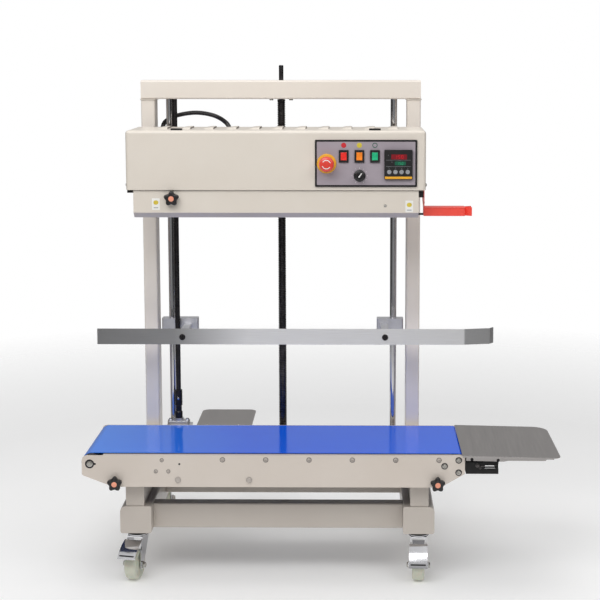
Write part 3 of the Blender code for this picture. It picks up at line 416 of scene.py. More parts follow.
# The table bracket is dark steel, darkened further to near black as painted shade under the table.
dress(RECESS_SHADE_BLACK, "table_bracket", edge=0.0004)
dress(BAND, "band_front", "band_rear")
dress(ZINC, *[f"band_wheel_{side}_{end}" for side in SIDES for end in ("front", "rear")], edge=0.0003)
dress(PANEL, "control_panel", edge=0.0003)
dress(BLACK, "temperature_controller", "speed_knob", edge=0.0004)
dress(RED, "estop_button")
dress(LIT_RED, "rocker_red", edge=0.0003)
dress(LIT_AMBER, "rocker_amber", edge=0.0003)
dress(LIT_GREEN, "rocker_green", edge=0.0003)
dress(RED_PAINT, "infeed_guide", edge=0.0005)
dress(CHROME, *[f"{corner}_caster_fork" for corner in CORNERS], edge=0.0004)
dress(CHROME, "left_front_brake_pedal", "right_front_brake_pedal", edge=0.0004)


# Shapes, as bmeshes. Each is drawn round its own +Z, which spot() turns the way it faces.

QUARTER = math.pi / 2
WAYS = {
    "up": Matrix.Identity(4),
    "down": Matrix.Rotation(math.pi, 4, "X"),
    "front": Matrix.Rotation(QUARTER, 4, "X"),
    "rear": Matrix.Rotation(-QUARTER, 4, "X"),
    "right": Matrix.Rotation(QUARTER, 4, "Y"),
    "left": Matrix.Rotation(-QUARTER, 4, "Y"),
}


def spot(x, y, z, way="front", turn=0.0):
    """A place on the machine, facing a way: front is towards -Y, and a turn is about that way."""
    return Matrix.Translation(place(x, y, z)) @ WAYS[way] @ Matrix.Rotation(turn, 4, "Z")


def joined(parts):
    """One bmesh of (shape, matrix) parts."""
    whole = bmesh.new()
    for shape, matrix in parts:
        bmesh.ops.recalc_face_normals(shape, faces=shape.faces)
        held = bpy.data.meshes.new("held")
        shape.to_mesh(held)
        shape.free()
        held.transform(matrix)
        whole.from_mesh(held)
        bpy.data.meshes.remove(held)
    return whole


def skin(shape, rings, closed=True, capped=False):
    """Faces from each ring of vertices to the next; capped fills the first and the last."""
    for ring, following in zip(rings, rings[1:]):
        for i in range(len(ring) if closed else len(ring) - 1):
            j = (i + 1) % len(ring)
            shape.faces.new((ring[i], ring[j], following[j], following[i]))
    if capped:
        shape.faces.new(rings[0][::-1])
        shape.faces.new(rings[-1])


def turned(profile, sides=32):
    """A profile of (radius, level) points turned round Z. A third value makes that ring a polygon with as
    many corners, whose flats are at the radius."""
    shape = bmesh.new()
    rings = []
    for radius, level, *corners in profile:
        ring = []
        for step in range(sides if radius else 1):
            turn = 2 * math.pi * step / sides
            reach = radius
            if corners:
                sector = 2 * math.pi / corners[0]
                reach = radius / math.cos(turn % sector - sector / 2)
            ring.append(shape.verts.new((reach * math.cos(turn), reach * math.sin(turn), level)))
        rings.append(ring)
    for ring, following in zip(rings, rings[1:]):
        for step in range(sides):
            corners = [ring[step % len(ring)], ring[(step + 1) % len(ring)]]
            corners += [following[(step + 1) % len(following)], following[step % len(following)]]
            shape.faces.new(list(dict.fromkeys(corners)))
    return shape


def slab(points, low, high, edge=0.0, segments=2):
    """An outline raised along Z, with its top edge rounded."""
    shape = bmesh.new()
    base = [shape.verts.new((*point, low)) for point in points]
    face = shape.faces.new(base)
    grown = bmesh.ops.extrude_face_region(shape, geom=[face])["geom"]
    top = [part for part in grown if isinstance(part, bmesh.types.BMVert)]
    bmesh.ops.translate(shape, verts=top, vec=(0, 0, high - low))
    if edge:
        rim = [line for line in shape.edges if all(vert in top for vert in line.verts)]
        bmesh.ops.bevel(shape, geom=rim, offset=edge, segments=segments, profile=0.6, affect="EDGES")
    return shape


def rounded(width, height, radius, steps=5):
    """A rectangle round the origin with rounded corners."""
    points = []
    for corner, (sx, sy) in enumerate(((1, 1), (-1, 1), (-1, -1), (1, -1))):
        for step in range(steps + 1):
            turn = (corner + step / steps) * QUARTER
            points.append((sx * (width / 2 - radius) + radius * math.cos(turn),
                           sy * (height / 2 - radius) + radius * math.sin(turn)))
    return points


def frame_of(width, height, radius, wall, low, high, inner_radius=None):
    """A rectangular frame, as a closed ring of four walls."""
    outer = rounded(width, height, radius)
    inner = rounded(width - 2 * wall, height - 2 * wall, max(radius - wall, 0.0004) if inner_radius is None
                    else inner_radius)
    shape = bmesh.new()
    corners = ((outer, low), (outer, high), (inner, high), (inner, low))
    rings = [[shape.verts.new((*point, level)) for point in points] for points, level in corners]
    skin(shape, rings + rings[:1])
    return shape


def washer(radius, thickness):
    rim = 0.7 * thickness
    return turned([(0, 0), (radius, 0), (radius, rim), (0.94 * radius, thickness), (0, thickness)])


def tube(inner, outer, low, high, sides=32):
    return turned([(inner, low), (outer, low), (outer, high), (inner, high), (inner, low)], sides)


def disc(radius, height, sides=32):
    return turned([(0, 0), (radius, 0), (radius, height), (0, height)], sides)


def socket_head(radius, height, sides=36):
    """A cap screw with a hexagonal socket."""
    return turned([(0, 0), (radius, 0), (radius, 0.86 * height), (0.9 * radius, height),
                   (0.46 * radius, height, 6), (0.44 * radius, 0.4 * height, 6), (0, 0.4 * height)], sides)


def button_head(radius, height, sides=36):
    """A low domed screw with a hexagonal socket."""
    dome = [(radius * math.cos(turn), height * (0.15 + 0.85 * math.sin(turn))) for turn in
            (0, 0.25, 0.5, 0.75, 1.0)]
    return turned([(0, 0), (radius, 0), *dome, (0.36 * radius, 0.96 * height, 6),
                   (0.34 * radius, 0.4 * height, 6), (0, 0.4 * height)], sides)


def hex_head(flats, height):
    """A hexagonal bolt head with its corners turned off."""
    half = flats / 2
    return turned([(0, 0), (half, 0, 6), (half, 0.82 * height, 6), (0.98 * half, height), (0, height)], 36)


def bolt(matrix, head="button", radius=0.005, height=0.003, plate=True):
    """The parts of a bolt: its head, and the washer under it."""
    rest = 0.0007 if plate else 0.0
    heads = {"button": button_head, "socket": socket_head}
    shape = hex_head(1.8 * radius, height) if head == "hex" else heads[head](radius, height)
    parts = [(shape, matrix @ Matrix.Translation((0, 0, rest)))]
    if plate:
        parts.append((washer(1.35 * radius, rest), matrix))
    return parts


def bolts(places, way, *kind):
    """The parts of a bolt at each place."""
    return [part for point in places for part in bolt(spot(*point, way), *kind)]


def piece(name, parts, material, body, slot, crease=35, replaces=()):
    """An object of (shape, matrix) parts in world coordinates, which rides on a body."""
    shape = joined(parts)
    bmesh.ops.remove_doubles(shape, verts=shape.verts, dist=0.000002)
    bmesh.ops.recalc_face_normals(shape, faces=shape.faces)
    mesh = bpy.data.meshes.new(name)
    shape.to_mesh(mesh)
    shape.free()
    mesh.materials.append(material)
    mesh.shade_smooth()
    mesh.set_sharp_from_angle(angle=math.radians(crease))
    made = bpy.data.objects.new(name, mesh)
    bpy.context.scene.collection.objects.link(made)
    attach(made, body)
    if replaces:
        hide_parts(*replaces)


# Stand


def end_cap(width, height):
    """A plastic cap for the end of a tube with 3 mm walls."""
    return slab(rounded(width - 0.006, height - 0.006, 0.003), -0.012, 0, 0.0008)


def stand_details():
    """The tubes' end caps, the welds and bolts of the frame, and the rods' collars."""
    leg_low, leg_high = limits("left_leg")
    beam_low, beam_high = limits("top_beam")
    leg, beam, middle = leg_high - leg_low, beam_high - beam_low, centre("top_beam")
    caps = []
    for side in SIDES:
        end = centre(f"{side}_leg")
        caps.append((end_cap(leg.x, leg.z), spot(end.x, leg_high.y - 0.0004, end.z, "rear")))
    for x, way in ((beam_low.x + 0.0004, "left"), (beam_high.x - 0.0004, "right")):
        caps.append((end_cap(beam.z, beam.y), spot(x, middle.y, middle.z, way)))
    piece("tube_end_caps", caps, BLACK, "base", "black_plastic")

    post_low, post_high = limits("left_post")
    size = post_high - post_low
    beads = []
    for side in SIDES:
        post = centre(f"{side}_post")
        for z, way in ((post_low.z, "up"), (post_high.z, "down")):
            bead = frame_of(size.x + 0.005, size.y + 0.005, 0.006, 0.0025, 0.0, 0.0022)
            beads.append((bead, spot(post.x, post.y, z, way)))
    piece("post_welds", beads, PAINT, "base", "cream_paint")

    under = [(x, middle.y, beam_low.z) for x in (-0.027, 0.027)]
    under += [(x, middle.y, limits("lower_beam")[0].z) for x in (-0.030, 0.030)]
    piece("beam_bolts", bolts(under, "down", "hex", 0.005, 0.0035), ZINC, "base", "chrome")

    collars = []
    for side in SIDES:
        low, high = limits(f"{side}_guide_rod")
        rod, hole = (low + high) / 2, (high.x - low.x) / 2 + 0.0002
        collar = turned([(hole, 0), (0.017, 0), (0.017, 0.011), (0.016, 0.012), (hole, 0.012), (hole, 0)])
        collars.append((collar, spot(rod.x, rod.y, low.z, "up")))
        set_screw = [(rod.x, rod.y - 0.0168, low.z + 0.006)]
        collars += bolts(set_screw, "front", "socket", 0.003, 0.001, False)
    piece("rod_collars", collars, ZINC, "base", "chrome")


def threaded_screw():
    """The lead screw: a trapezoidal thread between two plain ends."""
    low, high = limits("lead_screw")
    middle = (low + high) / 2
    crest = (high.x - low.x) / 2 - 0.0001
    pitch, depth, sides = 0.005, 0.0018, 20
    shoulder = limits("top_beam")[0].z - 0.004
    profile = ((0.00, crest - depth), (0.22, crest - depth), (0.38, crest), (0.80, crest))
    shape = bmesh.new()
    rings = []
    for lap in range(-1, int((shoulder - low.z) / pitch) + 2):
        for share, radius in profile:
            ring = []
            for step in range(sides):
                turn = 2 * math.pi * step / sides
                z = low.z + (lap + share + step / sides) * pitch
                level = min(max(z, low.z + 0.001), shoulder)
                ring.append(shape.verts.new((radius * math.cos(turn), radius * math.sin(turn), level)))
            rings.append(ring)
    skin(shape, rings, closed=False)
    rows = len(profile)
    for ring, following, above, over in zip(rings, rings[1:], rings[rows:], rings[rows + 1:]):
        # One turn on, the seam meets the ring a pitch above.
        shape.faces.new((ring[-1], above[0], over[0], following[-1]))
    bmesh.ops.remove_doubles(shape, verts=shape.verts, dist=0.00002)
    foot = turned([(0, low.z), (crest - depth, low.z), (crest - depth, low.z + 0.002), (0, low.z + 0.002)])
    spigot = 0.0063
    top = turned([(0, shoulder - 0.002), (crest, shoulder - 0.002), (crest, shoulder + 0.002),
                  (spigot, shoulder + 0.0035), (spigot, high.z - 0.002), (spigot - 0.0015, high.z),
                  (0, high.z)])
    matrix = Matrix.Translation(place(middle.x, middle.y, 0))
    piece("lead_screw_thread", [(shape, matrix), (foot, matrix), (top, matrix)], SCREW_STEEL, "screw",
          "black_steel", 28, ("lead_screw",))


# Conveyor

SMALL, MEDIUM, LARGE = 0.0032, 0.0042, 0.0058  # screw head radii


def conveyor_details():
    """The plates' bolts, on the front each over a dark ring of painted shadow, and the adjusters' slots as
    dark slabs of painted shade.
    """
    front, rear = limits("conveyor_front_plate")[0].y, limits("conveyor_rear_plate")[1].y
    row = [(-0.139 + 0.112 * number, 0.339) for number in range(6)]
    trio = [(-0.2963, 0.3377), (-0.3119, 0.3078), (-0.2794, 0.3078)]
    nose = [(0.4354, 0.3234), (0.4718, 0.3390), (0.4718, 0.3065)]
    axle = [(-0.4834, 0.3273)]
    painted, zinc, rings = [], [], []
    for y, way in ((front, "front"), (rear, "rear")):
        painted += bolts([(x, y, z) for x, z in row], way, "button", MEDIUM, 0.0028)
        zinc += bolts([(x, y, z) for x, z in nose], way, "socket", 0.0046, 0.004)
        zinc += bolts([(x, y, z) for x, z in axle], way, "hex", LARGE, 0.004)
    for x, z in trio:
        painted += bolt(spot(x, front, z, turn=0.5), "button", SMALL, 0.0024)
    painted += bolts([(x, front, 0.2857) for x in (-0.2547, -0.0701)], "front", "hex", 0.0062, 0.004)
    # Painted shadow: a thin dark ring under each bolt on the front plate.
    for points, radius in ((row, 1.6 * MEDIUM), (trio, 1.6 * SMALL), (nose, 0.0086), (axle, 0.0118)):
        rings += [(washer(radius, 0.0004), spot(x, front, z)) for x, z in points]
    piece("conveyor_bolt_painted_shadows", rings, BLACK_STEEL, "base", "black_steel")
    piece("conveyor_zinc_bolts", zinc, ZINC, "base", "chrome")
    # The painted screws take the darker cream: painted shade.
    piece("conveyor_painted_screws", painted, SHADED_SCREW_PAINT, "base", "cream_paint")
    # Painted shade: dark slabs stand for the adjuster's slot and a hole in the plate.
    slots = [(slab(rounded(width, 0.0052, 0.0025), -0.0006, 0.0002), spot(x, front, 0.3273))
             for x, width in ((-0.4722, 0.010), (-0.2508, 0.0052))]
    piece("adjuster_slots", slots, RECESS_SHADE_BLACK, "base", "black_plastic")


def drive_details():
    """The flange bearing on the gearbox, the gearbox's screws and the shelf's bolts."""
    low, high = limits("conveyor_gearbox")
    shaft = centre("drive_shaft")
    seat = high.z - 0.0085
    outline = []
    for sign in (1, -1):
        for step in range(9):
            turn = (step / 8 - 0.5) * math.pi * 0.75
            outline.append((sign * (0.0235 + 0.0075 * math.cos(turn)), sign * 0.0105 * math.sin(turn)))
    bore, rim, height = 0.0068, 0.0128, 0.0062
    ring = turned([(bore, 0), (rim, 0), (rim, 0.0052), (0.0116, height), (bore, height), (bore, 0)])
    parts = [(slab(outline, 0, 0.0020, 0.0006), spot(shaft.x, shaft.y, seat + 0.0003, "up")),
             (ring, spot(shaft.x, shaft.y, seat + 0.0020, "up"))]
    ears = [(shaft.x + sign * 0.0238, shaft.y, seat + 0.0022) for sign in (-1, 1)]
    piece("flange_bearing", parts + bolts(ears, "up", "hex", 0.0042, 0.0035), CHROME, "base", "chrome")
    box_x = centre("conveyor_gearbox").x
    corners = [(box_x + dx, high.y, z) for dx in (-0.028, 0.028) for z in (low.z + 0.010, high.z - 0.026)]
    piece("gearbox_screws", bolts(corners, "rear", "socket", 0.0032, 0.003, False), BLACK_STEEL, "base",
          "black_steel")
    low, high = limits("rear_shelf")
    feet = [(low.x + dx, low.y + 0.013, high.z) for dx in (0.030, 0.118)]
    piece("shelf_bolts", bolts(feet, "up", "button", 0.0048, 0.003), ZINC, "base", "chrome")


def joint_details():
    """The bright cross pins of the drive shaft's lower joint."""
    low, high = limits("drive_shaft")
    shaft, reach = (low + high) / 2, (high.x - low.x) / 2 - 0.0004
    pins = []
    for way, sign in (("front", -1), ("rear", 1)):
        pin = turned([(0, 0), (0.0030, 0), (0.0030, 0.0006), (0.0022, 0.0010), (0, 0.0010)])
        pins.append((pin, spot(shaft.x, shaft.y + sign * reach, 0.423, way)))
    piece("joint_pins", pins, CHROME, "shaft", "chrome")


def table_details():
    """The infeed table's screws, and the lock on the channel that it slides in."""
    screws = bolts([(0.5064, 0.006, 0.3395), (0.5741, 0.006, 0.3375)], "front", "socket", 0.0030, 0.0025)
    piece("table_screws", screws, BLACK_STEEL, "table", "black_steel")
    lock = bolts([(0.5205, 0.004, 0.3245)], "front", "hex", 0.0042, 0.004)
    lock += bolts([(0.5275, 0.004, 0.3180)], "front", "button", 0.0030, 0.003)
    lock.append((disc(0.0016, 0.010, 16), spot(0.5290, 0.0025, 0.3230, "right")))
    # The lock takes the darker steel: painted shade.
    piece("table_lock", lock, SHADE_STEEL, "base", "black_steel")


# Knobs


def star_points(radius, wave, steps=80):
    """A five-lobed outline: a circle whose radius waves."""
    points = []
    for step in range(steps):
        turn = 2 * math.pi * step / steps
        reach = radius + wave * math.cos(5 * (turn - QUARTER))
        points.append((reach * math.cos(turn), reach * math.sin(turn)))
    return points


def star_knob(name):
    """A five-lobed hand knob with a round shoulder, a hub behind it and a pressed-in cap."""
    middle = centre(name)
    wall = limits("front_guard")[0].y if name == "pressure_knob" else 0.0
    seat = wall - 0.0003
    depth = seat - limits(name)[0].y
    radius, wave = 0.0171, 0.0026
    body = bmesh.new()
    rings = []
    for inset, share in ((0.0040, 0.30), (0.0006, 0.34), (0.0, 0.40), (0.0, 0.80), (0.0007, 0.90),
                         (0.0022, 0.97), (0.0052, 1.0), (0.0072, 0.985)):
        rings.append([body.verts.new((*point, share * depth)) for point in star_points(radius - inset, wave)])
    skin(body, rings, capped=True)
    matrix = spot(middle.x, seat, middle.z)
    behind = matrix @ Matrix.Translation((0, 0, -0.0140))
    parts = [(body, matrix), (disc(0.0085, 0.32 * depth), matrix), (disc(0.0034, 0.0140, 20), behind)]
    piece(f"{name}_grip", parts, BLACK, name, "black_plastic", 40, (name,))
    cap = turned([(0, 0), (0.0080, 0), (0.0080, 0.0010), (0.0070, 0.0015), (0, 0.0017)], 40)
    piece(f"{name}_cap", [(cap, matrix @ Matrix.Translation((0, 0, depth - 0.0018)))], SALMON, name,
          "red_plastic")


# Head


def label(side, x, z):
    """A plain sticker: a yellow mark and a grey bar on a white field, with no symbol and no words."""
    face = limits("front_guard")[0].y
    for name, width, height, radius, low, high, lift, material, slot in (
        ("", 0.0200, 0.0300, 0.0015, 0, 0.00025, 0, LABEL, "aluminium"),
        ("_mark", 0.0130, 0.0110, 0.0055, 0.0002, 0.0004, 0.004, LABEL_YELLOW, "amber_plastic"),
        ("_line", 0.0120, 0.0020, 0.0008, 0.0002, 0.0004, -0.0095, GREY_KEY, "panel_grey"),
    ):
        field = slab(rounded(width, height, radius), low, high)
        piece(f"{side}_label{name}", [(field, spot(x, face, z + lift))], material, "head", slot)


def louvre(steps=10):
    """One pressed louvre: a hood that rises from its closed side to its open one."""
    shape = bmesh.new()
    width, length, rise = 0.028, 0.100, 0.0042
    rows = []
    for share, lift in ((0.0, 0.0), (0.18, 0.55), (0.5, 0.92), (0.82, 1.0), (1.0, 1.0)):
        row = []
        for step in range(steps + 1):
            along = step / steps
            swell = math.sin(min(min(along, 1 - along) / 0.12, 1.0) * QUARTER)
            row.append(shape.verts.new(((share - 0.5) * width, (along - 0.5) * length, rise * lift * swell)))
        rows.append(row)
    skin(shape, rows, closed=False)
    for part in bmesh.ops.extrude_face_region(shape, geom=shape.faces[:])["geom"]:
        if isinstance(part, bmesh.types.BMVert):
            part.co.z = -0.0004
    return shape


def cover_details():
    """The cover's louvres with painted shade in their mouths, its two grommets and the screws of its ends."""
    low, high = limits("head_cover")
    columns, y = [-0.300 + 0.060 * number for number in range(11)], 0.170
    hoods = [(louvre(), spot(x, y, high.z, "up")) for x in columns]
    piece("cover_louvres", hoods, PAINT, "head", "cream_paint")
    # Painted shade: a thin grey slab in each louvre's mouth.
    mouths = [(slab(rounded(0.0012, 0.080, 0.0005), 0.0002, 0.0036), spot(x + 0.0142, y, high.z, "up"))
              for x in columns]
    piece("louvre_mouth_shade", mouths, LOUVRE_SHADE, "head", "black_plastic")
    plugs = [(frame_of(0.0300, 0.0150, 0.0060, 0.0035, 0.0, 0.0045), spot(x, 0.0703, high.z, "up"))
             for x in (-0.255, 0.254)]
    piece("cover_grommets", plugs, BLACK, "head", "black_plastic")
    screws = []
    for x, way in ((low.x, "left"), (high.x, "right")):
        ends = [(x, y, low.z + 0.012) for y in (low.y + 0.020, high.y - 0.020)]
        screws += bolts(ends, way, "button", 0.0045, 0.0026)
    piece("cover_screws", screws, ZINC, "head", "chrome")


def guard_details():
    """The guard's stickers and screw, what shows of the head's ends beside it, and a dark slab of painted
    shadow under the cover's left end.
    """
    low, high = limits("front_guard")
    label("left", -0.3085, 0.998)
    label("right", 0.3425, 0.9925)
    screw = bolts([(0.2810, low.y, 0.994)], "front", "button", 0.0028, 0.0018)
    piece("guard_screw", screw, ZINC, "head", "chrome")
    pin = turned([(0, 0), (0.0028, 0), (0.0028, 0.013), (0.002, 0.014), (0, 0.014)], 20)
    parts = [
        (slab(rounded(0.013, 0.016, 0.001), 0, 0.030, 0.0008), spot(high.x + 0.0070, 0.100, 1.022)),
        # Painted shadow: a black slab where the gap under the cover's left end lies in shade.
        (slab(rounded(0.016, 0.007, 0.001), 0, 0.030, 0.0008), spot(low.x - 0.0100, 0.100, 1.029)),
        (pin, spot(high.x + 0.0010, 0.110, 0.9670, "right")),
    ]
    piece("head_end_blocks_and_shadow", parts, BLACK, "head", "black_plastic")


def arrow_arc(start, sweep=2.2, steps=16):
    """A raised arc for the emergency stop's face, from a start angle through a sweep."""
    shape = bmesh.new()
    sections = []
    for step in range(steps + 1):
        turn = start + step / steps * sweep
        section = []
        for radius, level in ((0.0098, 0.0), (0.0098, 0.0008), (0.0118, 0.0006), (0.0118, -0.0006)):
            section.append(shape.verts.new((radius * math.cos(turn), radius * math.sin(turn), level)))
        sections.append(section)
    skin(shape, sections, capped=True)
    return shape


def panel_details():
    """The panel's border, the emergency stop's ring and arcs, and the rockers' bezels and marks."""
    low, high = limits("control_panel")
    middle, face = (low + high) / 2, low.y
    border = frame_of(high.x - low.x, high.z - low.z, 0.003, 0.0048, 0, 0.0006, 0.0015)
    piece("panel_border", [(border, spot(middle.x, face, middle.z))], BLACK, "head", "black_plastic")

    stop, button = centre("estop_button"), limits("estop_button")[0].y
    ring = turned([(0.0084, 0), (0.0250, 0), (0.0250, 0.0020), (0.0230, 0.0048), (0.0150, 0.0062),
                   (0.0100, 0.0062), (0.0084, 0.0050), (0.0084, 0)], 64)
    piece("estop_ring", [(ring, spot(stop.x, face, stop.z))], YELLOW, "head", "amber_plastic")
    arcs = [(arrow_arc(start), spot(stop.x, button + 0.0008, stop.z)) for start in (0.35, 0.35 + math.pi)]
    piece("estop_arrows", arcs, WHITE_PRINT, "estop", "red_plastic")

    bezels = []
    for colour, print_colour in (("red", RED_PRINT), ("amber", YELLOW_PRINT), ("green", GREEN_PRINT)):
        rocker = centre(f"rocker_{colour}")
        bezels.append((frame_of(0.0250, 0.0320, 0.0015, 0.0046, 0, 0.0034), spot(rocker.x, face, rocker.z)))
        mark = disc(0.0066, 0.0003, 40)
        if colour == "green":
            mark = tube(0.0048, 0.0066, 0, 0.0003, 40)
        piece(f"{colour}_legend", [(mark, spot(rocker.x, face, rocker.z + 0.028))], print_colour, "head",
              "panel_grey")
    piece("rocker_bezels", bezels, BLACK, "head", "black_plastic")


def around(matrix, turn, radius):
    """A place at a radius from another's centre, turned with it."""
    return matrix @ Matrix.Rotation(turn, 4, "Z") @ Matrix.Translation((0, radius, 0))


def speed_details():
    """The speed knob's disc, pointer and ribs, and its plain scale on the panel."""
    middle, front = centre("speed_knob"), limits("speed_knob")[0].y
    top = turned([(0, 0), (0.0068, 0), (0.0068, 0.0003), (0, 0.0004)], 40)
    pointer = slab([(-0.0016, -0.004), (0.0016, -0.004), (0.0012, 0.0090), (-0.0012, 0.0090)], 0.0002, 0.0007)
    matrix = spot(middle.x, front + 0.0001, middle.z, turn=math.radians(-35))
    piece("speed_knob_disc", [(top, matrix)], BLACK_STEEL, "speed_knob", "black_steel")
    piece("speed_knob_pointer", [(pointer, matrix)], WHITE_PRINT, "speed_knob", "black_plastic")
    base = spot(middle.x, front + 0.0098, middle.z)
    ribs = []
    for number in range(24):
        rib = slab(rounded(0.0008, 0.0012, 0.0003, 2), 0.0, 0.0085)
        ribs.append((rib, around(base, math.pi * number / 12, 0.0109)))
    piece("speed_knob_ribs", ribs, BLACK, "speed_knob", "black_plastic")
    scale = spot(middle.x, limits("control_panel")[0].y, middle.z)
    ticks = []
    for number in range(11):
        tick = slab(rounded(0.0008, 0.0022 if number % 5 else 0.0040, 0.0003, 2), 0, 0.0002)
        ticks.append((tick, around(scale, math.radians(30 * number - 150), 0.0195)))
    piece("speed_scale", ticks, WHITE_PRINT, "head", "panel_grey")


SEGMENTS = {"0": "abcdef", "1": "bc", "5": "acdfg", "8": "abcdefg"}


def digit(character, height):
    """The lit bars of a seven-segment digit, as slabs round its centre."""
    width, bar = 0.5 * height, 0.11 * height
    centres = {
        "a": (0, height / 2, 0), "g": (0, 0, 0), "d": (0, -height / 2, 0),
        "f": (-width / 2, height / 4, 1), "b": (width / 2, height / 4, 1),
        "e": (-width / 2, -height / 4, 1), "c": (width / 2, -height / 4, 1),
    }
    for segment in SEGMENTS[character]:
        x, y, upright = centres[segment]
        size = (bar, 0.40 * height) if upright else (0.36 * height, bar)
        yield slab(rounded(*size, 0.3 * bar, 2), 0, 0.0003), Matrix.Translation((x, y, 0))


def controller_details():
    """The controller's two displays with plain digits, its rules, lamps and keys, and the strip below."""
    low, high = limits("temperature_controller")
    middle = (low + high) / 2

    def at(x, z):
        return spot(middle.x + x, low.y, middle.z + z)

    digits = []
    for row, x, z, width, height, size, glass, lit, slot in (
        ("upper", 0.0015, 0.0200, 0.040, 0.0130, 0.0085, DISPLAY_RED, DIGIT_RED, "red_plastic"),
        ("lower", 0.0045, 0.0035, 0.028, 0.0100, 0.0062, DISPLAY_GREEN, DIGIT_GREEN, "green_plastic"),
    ):
        pane = slab(rounded(width, height, 0.001), 0, 0.0005)
        piece(f"display_{row}", [(pane, at(x, z))], glass, "head", slot)
        bars = []
        for number, character in enumerate("150"):
            shift = Matrix.Translation(((number - 1) * 0.95 * size, 0, 0.0005))
            bars += [(bar, at(x, z) @ shift @ matrix) for bar, matrix in digit(character, size)]
        digits.append((f"digits_{row}", bars, lit, "head", slot))
    for shown in digits:
        piece(*shown)
    columns = [-0.0235 + 0.0157 * number for number in range(4)]
    marks = [(slab(rounded(0.064, 0.0005, 0.0002, 2), 0, 0.0002), at(0, z)) for z in (0.0118, -0.0045)]
    for x, z in ((-0.026, 0.0245), (-0.017, 0.0068)):
        marks.append((slab(rounded(0.0016, 0.0016, 0.0007, 3), 0, 0.0003), at(x, z)))
    marks += [(slab(rounded(0.0026, 0.0008, 0.0003, 2), 0, 0.0002), at(x, -0.0085)) for x in columns]
    piece("controller_lines", marks, GREY_KEY, "head", "panel_grey")
    profile = [(0, 0), (0.0056, 0), (0.0056, 0.0005), (0.0050, 0.0010), (0.0035, 0.0008), (0, 0.0006)]
    keys = [(turned(profile), at(x, -0.0185)) for x in columns]
    piece("controller_keys", keys, GREY_KEY, "head", "panel_grey")
    strip = slab(rounded(0.069, 0.0060, 0.0010), 0, 0.0006, 0.0002)
    foot = (low.z - high.z) / 2 + 0.0048
    piece("controller_strip", [(strip, at(0, foot))], YELLOW, "head", "amber_plastic")


def infeed_guide_details():
    """The rib along the red guide and the screws of its flange."""
    low = limits("infeed_guide")[0]
    rib = slab(rounded(0.104, 0.0022, 0.0008), 0.0, 0.0012, 0.0004)
    piece("guide_rib", [(rib, spot(low.x + 0.0535, 0.120, 0.9820))], RED_PAINT, "head", "red_plastic")
    flange = [(low.x + 0.002, y, z) for y, z in ((0.175, 0.990), (0.225, 1.008))]
    piece("guide_flange_screws", bolts(flange, "right", "button", 0.004, 0.0025), ZINC, "head", "chrome")


def chassis_details():
    """What shows from behind: vent slots drawn as dark slabs of painted shade, plate screws, and the bolts of
    the slide and nut blocks.
    """
    wall, back = 0.2505, limits("head_chassis")[1].y
    slots = []
    for x in (-0.190, 0.150):
        for row in range(7):
            # Painted shade: each vent slot is a dark slab.
            slot = slab(rounded(0.060, 0.0032, 0.0015), -0.0008, 0.0002)
            slots.append((slot, spot(x, wall, 1.070 + 0.009 * row, "rear")))
    piece("rear_vents", slots, RECESS_SHADE_BLACK, "head", "black_plastic")
    corners = [(x, wall, z) for x in (-0.350, -0.180, 0.180, 0.350) for z in (0.972, 1.168)]
    screws = bolts(corners, "rear", "button", 0.0045, 0.0026)
    for x, spread, levels in ((-0.3062, 0.024, (1.045, 1.135)), (0.3062, 0.024, (1.045, 1.135)),
                              (0.0, 0.021, (1.070, 1.110))):
        block = [(x + dx, back, z) for dx in (-spread, spread) for z in levels]
        screws += bolts(block, "rear", "socket", 0.0040, 0.004)
    piece("chassis_screws", screws, ZINC, "head", "chrome")


CONDUIT_ROUTE = (
    (-0.3225, 0.263, 1.165),
    (-0.3245, 0.300, 1.166),
    (-0.3305, 0.363, 1.177),
    (-0.3245, 0.385, 1.195),
    (-0.2940, 0.389, 1.211),
    (-0.2405, 0.390, 1.219),
    (-0.1900, 0.389, 1.211),
    (-0.1550, 0.380, 1.191),
    (-0.1410, 0.345, 1.169),
    (-0.1375, 0.300, 1.152),
    (-0.1375, 0.263, 1.150),
)


def smooth_route(points, steps):
    """A smooth curve through a route's points, as a list of points on it."""
    ends = [2 * points[0] - points[1], *points, 2 * points[-1] - points[-2]]
    route = []
    for i in range(1, len(ends) - 2):
        a, b, c, d = ends[i - 1 : i + 3]
        for step in range(steps):
            t = step / steps
            pull = 2 * b + (c - a) * t + (2 * a - 5 * b + 4 * c - d) * t**2 + (3 * b - a - 3 * c + d) * t**3
            route.append(pull / 2)
    return route + [points[-1]]


def hose():
    """The conduit between its two glands, with the fine ribs of its jacket."""
    route = smooth_route([place(*point) for point in CONDUIT_ROUTE], 60)
    shape = bmesh.new()
    sides, radius, rib = 16, 0.0060, 0.00022
    side = Vector((0, 0, 1))
    rings = []
    for number, point in enumerate(route):
        ahead = (route[min(number + 1, len(route) - 1)] - route[max(number - 1, 0)]).normalized()
        side = (side - ahead * side.dot(ahead)).normalized()
        other = ahead.cross(side)
        reach = radius + (rib if number % 2 else -rib)
        turns = [2 * math.pi * step / sides for step in range(sides)]
        rings.append([shape.verts.new(point + reach * (math.cos(turn) * side + math.sin(turn) * other))
                      for turn in turns])
    skin(shape, rings, capped=True)
    piece("conduit_jacket", [(shape, Matrix.Identity(4))], RUBBER, "head", "black_plastic", 60, ("conduit",))
    glands = []
    for x, y, z in (CONDUIT_ROUTE[0], CONDUIT_ROUTE[-1]):
        nut = turned([(0.0066, 0), (0.0092, 0, 6), (0.0092, 0.006, 6), (0.0084, 0.008), (0.0084, 0.014),
                      (0.0076, 0.016), (0.0066, 0.016), (0.0066, 0)], 36)
        glands.append((nut, spot(x, y - 0.0003, z, "rear")))
    piece("conduit_glands", glands, BLACK, "head", "black_plastic")


# Guide bar


